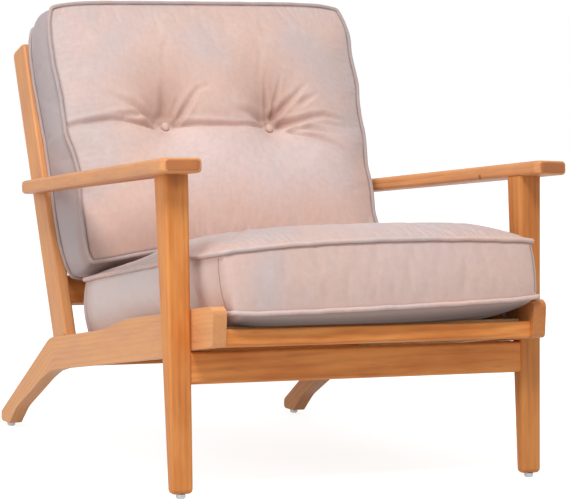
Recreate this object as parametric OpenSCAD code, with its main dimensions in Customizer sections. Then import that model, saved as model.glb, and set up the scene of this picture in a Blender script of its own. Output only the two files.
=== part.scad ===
// Lounge armchair with bent side boards, sloping flat arms and loose piped cushions.
// Lengths are in millimetres and angles in degrees.
// X runs across the chair, Y towards its back and Z up from the floor.

/* [Side boards] */
// Thickness of each bent board that is seat side and rear leg in one
side_t = 25; // [20:1:30]
// Height of the boards' top line beside the front legs
seat_line_z = 299; // [270:1:330]
// Slope of the seat, down towards the back
seat_slope = 9.8; // [6:0.1:12]
// Reach of the boards ahead of the front legs
side_reach = 97.5; // [80:0.5:110]
// Upright depth of a board ahead of the front leg
side_depth_front = 66; // [60:1:72]
// Upright depth of a board behind the front leg
side_depth = 74; // [70:1:84]
// Upright depth below the same top line where the rear leg begins
side_depth_rear = 71; // [66:1:80]
// Drop of the top line where a board thins towards the back
rear_step = 12.6; // [6:0.2:16]
// Depth at which the rear leg bends off the board's top line
knee_y = 554; // [552:1:600]
// Angle of the rear legs' back edge to the floor
rear_leg_angle = 36.5; // [33:0.5:40]
// Width of a rear leg at its upper end
rear_leg_w = 45; // [40:1:52]
// Width of a rear leg above its foot
ankle_w = 31; // [27:1:38]
// Length of a rear foot from its front corner to its nose
foot_len = 40; // [34:1:46]
// Height of a rear foot's back corner, where its rounded nose begins
foot_back_h = 25.7; // [20:0.1:32]
// Radius of a board's upper front corner
side_corner_r = 14; // [6:1:20]

/* [Front legs] */
// Width over the outer faces of the front legs, under the arms
legs_w = 720; // [680:2:780]
// Width of a leg seen from the front, under the arm
leg_w = 45; // [38:1:52]
// Width of a leg seen from the front, at the floor
leg_w_foot = 37; // [34:1:45]
// Depth of a leg under the arm
leg_depth_top = 42; // [34:1:50]
// Depth of a leg at its foot
leg_depth_foot = 22; // [20:1:30]
// Distance that the foot stands ahead of the leg's upper end
leg_run = 50; // [20:1:60]

/* [Arms] */
// Height of the arms' underside at the front legs
arm_z = 517; // [490:1:540]
// Thickness of an arm
arm_t = 24; // [22:1:32]
// Slope of the arms, down towards the back
arm_slope = 6.6; // [5.5:0.1:8]
// Reach of an arm ahead of its leg at the inner edge
arm_reach_in = 58; // [40:1:70]
// Reach of an arm ahead of its leg at the outer edge
arm_reach_out = 43; // [30:1:60]
// Width of an arm at the front
arm_w_front = 71; // [60:1:90]
// Width of an arm at the back
arm_w_rear = 31; // [28:1:50]
// Reach of an arm past the middle of its crossing with the post's front edge
arm_past_post = 39.1; // [35:0.1:53]
// Radius of an arm's corners seen from above
arm_corner_r = 14; // [4:1:15]

/* [Back frame] */
// Thickness of a back post
post_t = 24; // [20:1:30]
// Depth of a back post across its length
post_depth = 54; // [50:1:64]
// Depth at which the posts' front edge meets the side boards
post_y = 486; // [484:1:492]
// Lean of the posts off upright
post_lean = 23.5; // [22:0.5:25]
// Length of a post along its front edge
post_len = 562; // [545:1:600]
// Radius of the corners at a post's upper end
post_top_r = 11; // [3:1:18]
// Thickness of the two cross rails between the posts
back_rail_t = 22; // [18:1:25]
// Set-back of the cross rails and slats behind the posts' front edge
back_rail_setback = 17; // [16:1:22]
// Height of the lower cross rail
back_low_rail_h = 52; // [40:1:64]
// Distance of the lower cross rail up the posts
back_low_rail_s = 66; // [62:1:90]
// Height of the upper cross rail
back_top_rail_h = 55; // [40:1:64]
// Distance of the upper cross rail's top below the posts' ends
back_top_rail_gap = 17; // [14:1:40]
// Width of a back slat
back_slat_w = 42; // [30:1:60]
// Thickness of a back slat
back_slat_t = 10; // [8:1:12]

/* [Seat deck] */
// Height of the stretcher's underside between the front legs
stretcher_z = 181; // [165:1:195]
// Thickness of the stretcher
stretcher_t = 22; // [20:1:24]
// Set-back of the stretcher behind the legs' front faces
stretcher_setback = 4; // [2:1:6]
// Thickness of the seat's front and rear rails
seat_rail_t = 22; // [18:1:26]
// Height of the seat's front rail
front_rail_h = 29; // [28:1:36]
// Set-back of the front rail behind the side boards' ends
front_rail_setback = 15; // [8:1:20]
// Height of the seat's rear rail
rear_rail_h = 42; // [38:1:44]
// Distance of the rear rail's front face ahead of the posts' feet
rear_rail_gap = 29.3; // [27:0.1:40]
// Width of a cleat that carries the slats
cleat_w = 22; // [20:1:30]
// Height of a cleat
cleat_h = 20; // [18:1:24]
// Width of a seat slat
slat_w = 55; // [40:1:62]
// Thickness of a seat slat
slat_t = 12; // [10:1:14]
// Depth of the slats' top below the side boards' top line
slat_drop = 30; // [24:1:31]

/* [Seat cushion] */
// Width of the seat cushion that lies on each side board
seat_on_board = 12; // [5:1:16]
// Reach of the seat cushion ahead of the front legs' upper edge, along the seat
seat_front = 113; // [105:1:125]
// Gap between the seat cushion's lower piping and the posts' feet
seat_rear_gap = 8.3; // [6:0.1:28]
// Height of the seat cushion's front between its two piped edges
seat_boxing = 94; // [82:1:95]
// Loss of that height at the rear
seat_thinning = 9; // [0:1:14]
// Rise of the seat cushion's top over its piped edge
seat_crown = 56; // [30:1:58]
// Fall of the lower piping between the side boards
seat_sag = 19; // [5:1:22]
// Lean of the seat cushion's front, its upper edge behind the lower
seat_front_lean = 9; // [0:1:14]
// Lean of the seat cushion's rear, its upper edge ahead of the lower
seat_rear_lean = 24; // [10:1:30]

/* [Back cushion] */
// Gap beside the back cushion's lower edge, to the plane of the arms' inner edges
back_side_gap = 9; // [5:1:20]
// Extra width of its upper edge
back_flare = 15; // [0:1:16]
// Distance of the cushion's lower rear edge up the posts
back_low = 92.5; // [92:0.5:112]
// Distance by which the cushion's lower front edge hangs below the rear one
back_low_drop = 12; // [0:1:13]
// Distance of the cushion's upper edge up the posts, at its corners
back_high = 602; // [580:1:610]
// Rise of the upper edge between its corners
back_arch = 7; // [0:1:20]
// Rise of the lower front edge between its corners
back_low_arch = 14; // [0:1:24]
// Inset of the rear panel's edge from the front panel's
back_rear_inset = 8; // [0:1:12]
// Thickness of the back cushion between its two piped edges
back_boxing = 96; // [80:1:110]
// Extra thickness at the lower edge
back_belly = 26; // [0:1:40]
// Rise of the cushion's front over its piped edge
back_crown = 42; // [20:1:50]
// Distance between the two tufts
tuft_pitch = 214; // [160:2:260]
// Distance of the tufts up the posts
tuft_s = 358; // [320:1:400]
// Depth of a tuft
tuft_depth = 36; // [15:1:38]
// Diameter of a covered button
button_d = 16; // [14:1:24]
// Diameter of the piping on both cushions
piping_d = 8; // [6:0.5:9]

/* [Fasteners] */
// Diameter of the wooden dowels
dowel_d = 8; // [6:1:9]
// Diameter of the bolts that hold the side boards to the legs
bolt_d = 8; // [6:1:8]
// Diameter of the wood screws
screw_d = 4; // [3:0.5:5]
// Diameter of a foot glide
glide_d = 15; // [12:1:19]
// Height of a foot glide
glide_h = 7.5; // [5:0.5:9]

/* [Hidden] */
// Clearance between soft parts and what they rest on
soft_gap = 0.3;
// Clearance between a fastener and its hole
pin_gap = 0.1;
// Clearance left beyond the tip of a fastener
tip_gap = 0.5;
// Smoothness of the round parts
$fn = 48;
// Counts of the repeated pieces
slat_count = 7;
back_slat_count = 5;
// Colours
wood = [0.78, 0.47, 0.24];
deck_wood = [0.86, 0.72, 0.52];
steel = [0.6, 0.6, 0.62];
brass = [0.75, 0.6, 0.3];
velvet = [0.83, 0.75, 0.73];
foam = [0.93, 0.9, 0.78];
twine = [0.9, 0.88, 0.82];

// Half widths: outer and inner face of the legs, inner face of the side boards and of the posts
leg_out_x = legs_w / 2;
leg_in_x = leg_out_x - leg_w;
side_in_x = leg_in_x - side_t;
post_in_x = leg_in_x - post_t;
piping_r = piping_d / 2;
// Distance from a cover's edge to its piping's centre
piping_off = piping_r + soft_gap;
// Widths of the two cushions over their piping
seat_w = 2 * (side_in_x + seat_on_board);
back_w = 2 * (leg_in_x - back_side_gap);

// Heights of the side boards' lines at a depth behind the front legs' upper edge
function top_line(y) = seat_line_z - y * tan(seat_slope);
function rear_line(y) = top_line(y) - rear_step;
function bottom_line(y) = top_line(y) - side_depth;
function front_bottom_line(y) = top_line(y) - side_depth_front;
// Height of the rear leg's back edge
function heel_line(y) = rear_line(knee_y) - (y - knee_y) * tan(rear_leg_angle);
// Farthest point of the rear feet, where their back edge is down at the foot's back corner
nose_y = knee_y + (rear_line(knee_y) - foot_back_h) / tan(rear_leg_angle);
// The posts' feet in the seat's own plane
post_z = rear_line(post_y);
post_foot_y = post_y * cos(seat_slope) + (seat_line_z - post_z) * sin(seat_slope);
seat_len = seat_front + post_foot_y - seat_rear_gap;
// Depth of the leg's front edge, and of its whole section, at a height
function leg_front(z) = -leg_run * (arm_z - z) / arm_z;
function leg_depth(z) = leg_depth_foot + (leg_depth_top - leg_depth_foot) * z / arm_z;
// Depth of a leg's middle at a height
function leg_mid(z) = leg_front(z) + leg_depth(z) / 2;

// Frontmost point of the seat cushion's piping
front_y = -(seat_front - piping_r) * cos(seat_slope) + (piping_off - seat_sag) * sin(seat_slope) - piping_r;
// Depth of the front legs' upper edge with the origin midway between front and back
origin_y = -(front_y + nose_y) / 2;

// Seat deck in the seat's own plane: y along the slope, z square to it
deck_z = -slat_drop;
front_rail_y = -(side_reach - front_rail_setback) * cos(seat_slope);
rear_rail_y = post_foot_y - rear_rail_gap;
rear_rail_raise = 4;
rear_rail_z = -side_depth * cos(seat_slope) + rear_rail_raise;
front_rail_edge_r = 7;
rear_rail_edge_r = 4;
deck_from = front_rail_y + seat_rail_t;
slat_margin = 8;
slat_first = deck_from + slat_margin + slat_w / 2;
slat_pitch = (rear_rail_y - slat_margin - slat_w / 2 - slat_first) / (slat_count - 1);
slat_end_gap = 0.5;
cleat_z = deck_z - slat_t - cleat_h;

// Back rails in the posts' own plane: y up the posts, z out of their front edge
back_top_rail_s = post_len - back_top_rail_gap - back_top_rail_h;
back_rail_n = -back_rail_setback - back_rail_t;
slat_tenon = 10;
back_slat_inset = 60;
back_slat_run = 2 * (post_in_x - back_slat_inset);

// Round-cornered outlines: each corner is [x, y, radius]
function unit(v) = v / norm(v);
function flat2(p) = [p[0], p[1]];
function turned(v, a) = [v[0] * cos(a) - v[1] * sin(a), v[0] * sin(a) + v[1] * cos(a)];
function corner_arc(p, q, s, r) =
    let (
        a = unit(p - q),
        b = unit(s - q),
        half = acos(a * b) / 2,
        centre = q + unit(a + b) * r / sin(half),
        spoke = q + a * r / tan(half) - centre,
        sweep = (180 - 2 * half) * sign(a[1] * b[0] - a[0] * b[1]),
        steps = max(2, ceil(abs(sweep) / 12))
    )
    [for (k = [0:steps]) centre + turned(spoke, sweep * k / steps)];
function rounded(pts) =
    let (n = len(pts))
    [for (i = [0:n - 1])
        let (p = flat2(pts[(i + n - 1) % n]), q = flat2(pts[i]), s = flat2(pts[(i + 1) % n]))
        each (pts[i][2] > 0 ? corner_arc(p, q, s, pts[i][2]) : [q])];

// Placement
module in_frame() {
    translate([0, origin_y, 0]) children();
}
module on_side(side) {
    if (side > 0) children();
    else mirror([1, 0, 0]) children();
}
module both_sides() {
    for (side = [-1, 1]) on_side(side) children();
}
// Seat plane: x across, y down the slope to the back, z square to the seat
module on_seat() {
    translate([0, 0, seat_line_z]) rotate([-seat_slope, 0, 0]) children();
}
// Back plane: x across, y up the posts, z forward out of their front edge
module on_back() {
    translate([0, post_y, post_z]) rotate([90 - post_lean, 0, 0]) children();
}
// Arm plane: x across, y along the arm to the back, z up from its underside
module on_arm() {
    translate([0, 0, arm_z]) rotate([-arm_slope, 0, 0]) children();
}
// Board of thickness t from x0 outwards, its outline drawn in depth and height
module board(x0, t) {
    translate([x0, 0, 0]) rotate([90, 0, 90]) linear_extrude(t) children();
}
// Bar between two x values, along +X
module along_x(x0) {
    translate([x0, 0, 0]) rotate([0, 90, 0]) children();
}

// Places of the fasteners, drawn for the right side
bolt_inset = 17;
bolt_z = [front_bottom_line(0) + bolt_inset, top_line(0) - bolt_inset];
module bolt_places() {
    for (z = bolt_z) translate([0, leg_mid(z), z]) children();
}
arm_dowel_share = 0.22;
arm_dowel_x = leg_w * arm_dowel_share;
module arm_dowel_places() {
    for (dx = [-arm_dowel_x, arm_dowel_x])
        on_arm() translate([leg_in_x + leg_w / 2 + dx, leg_depth_top / 2, 0]) children();
}
arm_screw_pitch = 14;
// Middle of the stretch on which arm and post overlap, along the arm
arm_cross = (post_y + (arm_z - post_z) * tan(post_lean)) / cos(arm_slope)
    * cos(post_lean) * cos(arm_slope) / cos(post_lean - arm_slope);
arm_screw_shift = 1.5;
arm_len = arm_cross + arm_past_post;
arm_screw_y = (arm_cross + arm_len) / 2 + arm_screw_shift;
module arm_screw_places() {
    for (dy = [-arm_screw_pitch / 2, arm_screw_pitch / 2])
        on_arm() translate([0, arm_screw_y + dy, arm_t / 2]) children();
}
post_dowel_n = [-post_depth / 4, -post_depth * 3 / 4];
module post_dowel_places() {
    for (n = post_dowel_n)
        on_back() translate([post_in_x + post_t / 2, -n * tan(post_lean - seat_slope), n])
            rotate([-90, 0, 0]) children();
}
back_rail_mid = [
    back_low_rail_s + back_low_rail_h / 2,
    back_top_rail_s + back_top_rail_h / 2
];
back_dowel_pitch = 28;
module back_dowel_places() {
    for (s = back_rail_mid, d = [-back_dowel_pitch / 2, back_dowel_pitch / 2])
        on_back() translate([0, s + d, back_rail_n + back_rail_t / 2]) children();
}
rail_dowel_pitch = 14;
front_rail_z = -side_depth_front * cos(seat_slope);
module seat_dowel_places() {
    for (d = [-rail_dowel_pitch / 2, rail_dowel_pitch / 2]) {
        on_seat() translate([0, front_rail_y + seat_rail_t / 2, front_rail_z + front_rail_h / 2 + d])
            children();
        on_seat() translate([0, rear_rail_y + seat_rail_t / 2, rear_rail_z + rear_rail_h / 2 + 2 * d])
            children();
    }
}
// Room kept over the stretcher for the leg's lean between its lower and upper edge
stretcher_room = 6;
stretcher_top = front_bottom_line(leg_front(stretcher_z) + stretcher_setback + stretcher_t + stretcher_room);
stretcher_dowel_pitch = 24;
module stretcher_dowel_places() {
    mid = (stretcher_z + stretcher_top) / 2;
    for (d = [-stretcher_dowel_pitch / 2, stretcher_dowel_pitch / 2])
        translate([0, leg_front(mid + d) + stretcher_setback + stretcher_t / 2, mid + d]) children();
}
function slat_y(i) = slat_first + i * slat_pitch;
slat_screw_x = side_in_x - cleat_w / 2;
module slat_screw_places(list) {
    for (i = list) on_seat() translate([slat_screw_x, slat_y(i), deck_z]) children();
}
// A cleat's screws lie midway between two slats, behind the leg bolts
cleat_screw_gaps = [1, 3, 5];
module cleat_screw_places() {
    for (i = cleat_screw_gaps)
        on_seat() translate([0, slat_y(i + 0.5), cleat_z + cleat_h / 2]) children();
}
rear_glide_y = nose_y - foot_len / 2;
module glide_places() {
    translate([leg_in_x + leg_w_foot / 2, leg_front(glide_h) + leg_depth(glide_h) / 2, 0]) children();
    translate([side_in_x + side_t / 2, rear_glide_y, 0]) children();
}

// Fasteners, each standing on the origin along +Z
head_d = 2 * screw_d;
head_h = screw_d / 2;
module screw(length) {
    rotate_extrude()
        polygon([
            [0, 0],
            [screw_d / 2, 0],
            [screw_d / 2, length - head_h],
            [head_d / 2, length],
            [0, length]
        ]);
}
module screw_hole(length) {
    translate([0, 0, -tip_gap]) cylinder(d = screw_d + 2 * pin_gap, h = length + tip_gap);
    translate([0, 0, length - head_h])
        rotate_extrude()
            polygon([
                [0, -pin_gap],
                [screw_d / 2 + pin_gap, -pin_gap],
                [head_d / 2 + pin_gap, head_h],
                [head_d / 2 + pin_gap, head_h + 1],
                [0, head_h + 1]
            ]);
}
module dowel(length) {
    translate([0, 0, -length / 2]) cylinder(d = dowel_d, h = length);
}
module dowel_hole(length) {
    translate([0, 0, -length / 2 - tip_gap])
        cylinder(d = dowel_d + 2 * pin_gap, h = length + 2 * tip_gap);
}

bolt_head_d = 1.75 * bolt_d;
bolt_head_h = 5;
bolt_head_sink = 1;
insert_wall = 2.5;
insert_d = bolt_d + 2 * insert_wall;
insert_len = 22;
bolt_len = side_t - bolt_head_h - bolt_head_sink + insert_len;
module bolt_holes() {
    bolt_places() along_x(side_in_x - 1) {
        cylinder(d = bolt_head_d + 2 * pin_gap, h = 1 + bolt_head_h + bolt_head_sink);
        cylinder(d = bolt_d + 2 * pin_gap, h = side_t + 2);
    }
}

arm_dowel_len = 44;
arm_dowel_sink = 6;
stretcher_dowel_len = 50;
seat_dowel_len = 40;
post_dowel_len = 56;
back_dowel_len = 36;
arm_screw_len = 42;
slat_screw_len = 26;
cleat_screw_len = 36;

// Frame
leg_foot_r = 8;
module leg_outline() {
    polygon(rounded([
        [leg_front(glide_h), glide_h, leg_foot_r],
        [leg_front(glide_h) + leg_depth(glide_h), glide_h, leg_foot_r],
        [leg_depth_top, arm_z - leg_depth_top * tan(arm_slope), 0],
        [0, arm_z, 0]
    ]));
}
// Room that a leg lies in, its outer face leaning in towards the foot
module leg_taper() {
    translate([0, leg_depth_top + 1, 0]) rotate([90, 0, 0]) linear_extrude(leg_run + leg_depth_top + 2)
        polygon([
            [leg_in_x - 1, 0],
            [leg_in_x + leg_w_foot, 0],
            [leg_in_x + leg_w, arm_z],
            [leg_in_x + leg_w, arm_z + 1],
            [leg_in_x - 1, arm_z + 1]
        ]);
}
module front_leg(side) {
    color(wood) in_frame() on_side(side) difference() {
        intersection() {
            board(leg_in_x, leg_w) leg_outline();
            leg_taper();
        }
        arm_dowel_places() translate([0, 0, -arm_dowel_sink]) dowel_hole(arm_dowel_len);
        bolt_places() along_x(leg_in_x - 1) cylinder(d = insert_d + 2 * pin_gap, h = insert_len + 2);
        stretcher_dowel_places() along_x(leg_in_x) dowel_hole(stretcher_dowel_len);
        glide_places() cylinder(d = nail_d + 2 * pin_gap, h = glide_h + nail_len + tip_gap);
    }
}

thin_from = 235;
thin_to = 325;
thin_r = 200;
knee_r = 60;
inner_knee_r = 200;
thick_from = 8;
thick_to = 38;
lower_corner_r = 8;
nose_r = 8;
ankle_r = 80;
// Distance of the ankle along the rear leg's back edge
ankle_share = 0.74;
ankle_run = (nose_y - knee_y) * ankle_share / cos(rear_leg_angle);
ankle = [
    knee_y + ankle_run * cos(rear_leg_angle) - ankle_w * sin(rear_leg_angle),
    rear_line(knee_y) - ankle_run * sin(rear_leg_angle) - ankle_w * cos(rear_leg_angle)
];
// Depth at which the rear leg's full width meets the board's bottom line
inner_knee_y = knee_y + (side_depth_rear - rear_step - rear_leg_w / cos(rear_leg_angle))
    / (tan(seat_slope) - tan(rear_leg_angle));
module side_outline() {
    polygon(rounded([
        [-side_reach, front_bottom_line(-side_reach), lower_corner_r],
        [thick_from, front_bottom_line(thick_from), lower_corner_r],
        [thick_to, bottom_line(thick_to), lower_corner_r],
        [inner_knee_y, top_line(inner_knee_y) - side_depth_rear, inner_knee_r],
        [ankle[0], ankle[1], ankle_r],
        [nose_y - foot_len, glide_h, leg_foot_r],
        [nose_y, glide_h, nose_r],
        [nose_y, heel_line(nose_y), nose_r],
        [knee_y, rear_line(knee_y), knee_r],
        [thin_to, rear_line(thin_to), thin_r],
        [thin_from, top_line(thin_from), thin_r],
        [-side_reach, top_line(-side_reach), side_corner_r]
    ]));
}
module side_member(side) {
    color(wood) in_frame() on_side(side) difference() {
        board(side_in_x, side_t) side_outline();
        bolt_holes();
        post_dowel_places() dowel_hole(post_dowel_len);
        seat_dowel_places() along_x(side_in_x) dowel_hole(seat_dowel_len);
        cleat_screw_places() along_x(side_in_x - cleat_w + cleat_screw_len) rotate([180, 0, 0])
            screw_hole(cleat_screw_len);
        glide_places() cylinder(d = nail_d + 2 * pin_gap, h = glide_h + nail_len + tip_gap);
    }
}

// Depth of the posts' back edge where it meets the side boards
post_back_y = post_y + post_depth * cos(seat_slope) / cos(post_lean - seat_slope);
module post_outline() {
    top = [post_y + post_len * sin(post_lean), post_z + post_len * cos(post_lean)];
    polygon(rounded([
        [post_y, post_z, 0],
        [post_back_y, rear_line(post_back_y), 0],
        [top[0] + post_depth * cos(post_lean), top[1] - post_depth * sin(post_lean), post_top_r],
        [top[0], top[1], post_top_r]
    ]));
}
module back_post(side) {
    color(wood) in_frame() on_side(side) difference() {
        board(post_in_x, post_t) post_outline();
        post_dowel_places() dowel_hole(post_dowel_len);
        back_dowel_places() along_x(post_in_x) dowel_hole(back_dowel_len);
        arm_screw_places() along_x(post_in_x + arm_screw_len) rotate([180, 0, 0])
            screw_hole(arm_screw_len);
    }
}

module arm_outline() {
    polygon(rounded([
        [leg_in_x, -arm_reach_in, arm_corner_r],
        [leg_in_x + arm_w_front, -arm_reach_out, arm_corner_r],
        [leg_in_x + arm_w_rear, arm_len, arm_corner_r],
        [leg_in_x, arm_len, arm_corner_r / 2]
    ]));
}
module armrest(side) {
    color(wood) in_frame() on_side(side) difference() {
        on_arm() linear_extrude(arm_t) arm_outline();
        arm_dowel_places() translate([0, 0, -arm_dowel_sink]) dowel_hole(arm_dowel_len);
        arm_screw_places() along_x(post_in_x + arm_screw_len) rotate([180, 0, 0])
            screw_hole(arm_screw_len);
    }
}

stretcher_edge_r = 6;
module front_stretcher() {
    low = leg_front(stretcher_z) + stretcher_setback;
    high = leg_front(stretcher_top) + stretcher_setback;
    color(wood) in_frame() difference() {
        board(-leg_in_x, 2 * leg_in_x)
            polygon(rounded([
                [low, stretcher_z, stretcher_edge_r],
                [low + stretcher_t, stretcher_z, stretcher_edge_r],
                [high + stretcher_t, stretcher_top, 0],
                [high, stretcher_top, 0]
            ]));
        both_sides() stretcher_dowel_places() along_x(leg_in_x) dowel_hole(stretcher_dowel_len);
    }
}

module seat_rail(y, z, h, edge_r) {
    color(wood) in_frame() difference() {
        on_seat() translate([0, y, z]) board(-side_in_x, 2 * side_in_x)
            polygon(rounded([[0, 0, edge_r], [seat_rail_t, 0, 0], [seat_rail_t, h, 0], [0, h, edge_r / 2]]));
        both_sides() seat_dowel_places() along_x(side_in_x) dowel_hole(seat_dowel_len);
    }
}
module seat_front_rail() {
    seat_rail(front_rail_y, front_rail_z, front_rail_h, front_rail_edge_r);
}
module seat_rear_rail() {
    seat_rail(rear_rail_y, rear_rail_z, rear_rail_h, rear_rail_edge_r);
}

module seat_cleat(side) {
    color(deck_wood) in_frame() on_side(side) difference() {
        on_seat() translate([side_in_x - cleat_w, deck_from, cleat_z])
            cube([cleat_w, rear_rail_y - deck_from, cleat_h]);
        slat_screw_places([0:slat_count - 1]) translate([0, 0, -slat_screw_len]) screw_hole(slat_screw_len);
        cleat_screw_places() along_x(side_in_x - cleat_w + cleat_screw_len) rotate([180, 0, 0])
            screw_hole(cleat_screw_len);
    }
}
module seat_slat(number) {
    index = number - 1;
    half = side_in_x - slat_end_gap;
    color(deck_wood) in_frame() difference() {
        on_seat() translate([-half, slat_y(index) - slat_w / 2, deck_z - slat_t])
            cube([2 * half, slat_w, slat_t]);
        both_sides() slat_screw_places([index]) translate([0, 0, -slat_screw_len])
            screw_hole(slat_screw_len);
    }
}

function back_slat_x(i) = -back_slat_run / 2 + back_slat_run * i / (back_slat_count - 1);
module back_slat_bar(i, grow) {
    low = back_low_rail_s + back_low_rail_h - slat_tenon - grow;
    high = back_top_rail_s + slat_tenon + grow;
    on_back() translate([
        back_slat_x(i) - back_slat_w / 2 - grow,
        low,
        back_rail_n + (back_rail_t - back_slat_t) / 2 - grow
    ])
        cube([back_slat_w + 2 * grow, high - low, back_slat_t + 2 * grow]);
}
module back_slat(number) {
    color(wood) in_frame() back_slat_bar(number - 1, 0);
}
module back_rail(s, h) {
    color(wood) in_frame() difference() {
        on_back() translate([-post_in_x, s, back_rail_n]) cube([2 * post_in_x, h, back_rail_t]);
        for (i = [0:back_slat_count - 1]) back_slat_bar(i, pin_gap);
        both_sides() back_dowel_places() along_x(post_in_x) dowel_hole(back_dowel_len);
    }
}
module back_bottom_rail() {
    back_rail(back_low_rail_s, back_low_rail_h);
}
module back_top_rail() {
    back_rail(back_top_rail_s, back_top_rail_h);
}

// Fasteners and feet
module arm_dowels() {
    color(deck_wood) in_frame() both_sides() arm_dowel_places()
        translate([0, 0, -arm_dowel_sink]) dowel(arm_dowel_len);
}
module stretcher_dowels() {
    color(deck_wood) in_frame() both_sides() stretcher_dowel_places()
        along_x(leg_in_x) dowel(stretcher_dowel_len);
}
module seat_rail_dowels() {
    color(deck_wood) in_frame() both_sides() seat_dowel_places() along_x(side_in_x) dowel(seat_dowel_len);
}
module post_dowels() {
    color(deck_wood) in_frame() both_sides() post_dowel_places() dowel(post_dowel_len);
}
module back_rail_dowels() {
    color(deck_wood) in_frame() both_sides() back_dowel_places() along_x(post_in_x) dowel(back_dowel_len);
}
module leg_bolts() {
    color(steel) in_frame() both_sides() bolt_places() {
        along_x(side_in_x + bolt_head_sink) cylinder(d = bolt_head_d, h = bolt_head_h);
        along_x(side_in_x + bolt_head_sink + bolt_head_h) cylinder(d = bolt_d, h = bolt_len);
    }
}
module leg_inserts() {
    color(brass) in_frame() both_sides() bolt_places() along_x(leg_in_x) difference() {
        cylinder(d = insert_d, h = insert_len);
        translate([0, 0, -1]) cylinder(d = bolt_d + 2 * pin_gap, h = insert_len + 2);
    }
}
module arm_screws() {
    color(steel) in_frame() both_sides() arm_screw_places()
        along_x(post_in_x + arm_screw_len) rotate([180, 0, 0]) screw(arm_screw_len);
}
module slat_screws() {
    color(steel) in_frame() both_sides() slat_screw_places([0:slat_count - 1])
        translate([0, 0, -slat_screw_len]) screw(slat_screw_len);
}
module cleat_screws() {
    color(steel) in_frame() both_sides() cleat_screw_places()
        along_x(side_in_x - cleat_w + cleat_screw_len) rotate([180, 0, 0]) screw(cleat_screw_len);
}
nail_d = 3;
nail_len = 16;
glide_chamfer = 2;
module foot_glides() {
    color(steel) in_frame() both_sides() glide_places() rotate_extrude()
        polygon([
            [0, 0],
            [glide_d / 2 - glide_chamfer, 0],
            [glide_d / 2, glide_chamfer],
            [glide_d / 2, glide_h],
            [nail_d / 2, glide_h],
            [nail_d / 2, glide_h + nail_len],
            [0, glide_h + nail_len]
        ]);
}

// Soft forms: a grid of points for each of the two panels, and rings of boxing between them.
// u and v run from -1 to 1 across a panel, closer together towards its edges.
function spread(i, n) =
    let (t = 2 * i / n - 1)
    t * (1.2 - 0.2 * t * t);
function mix(a, b, t) = a + (b - a) * t;
function border(nu, nv) = concat(
    [for (i = [0:nu - 1]) [i, 0]],
    [for (j = [0:nv - 1]) [nu, j]],
    [for (i = [nu:-1:1]) [i, nv]],
    [for (j = [nv:-1:1]) [0, j]]
);
function panel(nu, nv, point) =
    [for (j = [0:nv], i = [0:nu]) point(spread(i, nu), spread(j, nv))];
function rim(nu, nv, point) = [for (c = border(nu, nv)) point(spread(c[0], nu), spread(c[1], nv))];
// Directions in the panel's plane that point out of a closed rim
function outward(path) =
    let (n = len(path))
    [for (i = [0:n - 1])
        let (d = path[(i + 1) % n] - path[(i + n - 1) % n])
        unit([d[1], -d[0], 0])];
// Height of a crown that is full in the middle and nil along the edges
function dome(u, v, power) = pow(max(0, (1 - u * u) * (1 - v * v)), power);

module box_cushion(nu, nv, upper, lower, rings, bulge) {
    row = nu + 1;
    size = row * (nv + 1);
    edge = border(nu, nv);
    n = len(edge);
    high = rim(nu, nv, upper);
    low = rim(nu, nv, lower);
    out = outward(high);
    sides = [for (k = [1:rings], i = [0:n - 1])
        mix(high[i], low[i], k / (rings + 1)) + out[i] * bulge * sin(180 * k / (rings + 1))];
    at = function (k, i) k == 0 ? edge[i % n][1] * row + edge[i % n][0]
        : k > rings ? size + edge[i % n][1] * row + edge[i % n][0]
        : 2 * size + (k - 1) * n + i % n;
    top_faces = [for (j = [0:nv - 1], i = [0:nu - 1])
        let (a = j * row + i, b = a + 1, c = a + row, d = c + 1)
        each [[a, c, b], [b, c, d]]];
    low_faces = [for (f = top_faces) [f[0] + size, f[2] + size, f[1] + size]];
    side_faces = [for (k = [0:rings], i = [0:n - 1])
        each [[at(k, i), at(k, i + 1), at(k + 1, i)], [at(k, i + 1), at(k + 1, i + 1), at(k + 1, i)]]];
    polyhedron(
        points = concat(panel(nu, nv, upper), panel(nu, nv, lower), sides),
        faces = concat(top_faces, low_faces, side_faces)
    );
}
// Cord sewn round a rim, just clear of the cover
piping_sides = 8;
module piping(path) {
    n = len(path);
    out = outward(path);
    points = [for (i = [0:n - 1], k = [0:piping_sides - 1])
        let (a = 360 * k / piping_sides)
        path[i] + out[i] * (piping_off + piping_r * cos(a)) + [0, 0, piping_r * sin(a)]];
    at = function (i, k) (i % n) * piping_sides + k % piping_sides;
    faces = [for (i = [0:n - 1], k = [0:piping_sides - 1])
        each [[at(i, k), at(i + 1, k), at(i + 1, k + 1)], [at(i, k), at(i + 1, k + 1), at(i, k + 1)]]];
    polyhedron(points = points, faces = faces);
}

// Seat cushion, in the seat's plane
seat_nu = 16;
seat_nv = 14;
seat_corner = 0.02;
seat_draw = 4;
seat_bulge = 8;
seat_rings = 3;
seat_crown_power = 0.5;
corner_power = 8;
seat_half = seat_w / 2 - piping_r - piping_off;
seat_half_len = seat_len / 2 - piping_r - piping_off;
seat_mid = seat_len / 2 - seat_front;
seat_low_z = piping_off;
seat_low_crown = slat_drop + seat_low_z - soft_gap;
// Smooth step from 0 to 1 as t runs from a to b
function step(t, a, b) =
    let (w = min(1, max(0, (t - a) / (b - a))))
    w * w * (3 - 2 * w);
// Share of the crown left where the back cushion weighs on the seat, from one depth to another
press_share = 0.75;
press_from = -0.1;
press_to = 0.8;
function pressed(v) = 1 - press_share * step(v, press_from, press_to);
// Sag of the underside across the seat, nil over the side boards
sag_width = 0.95;
sag_power = 0.6;
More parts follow.
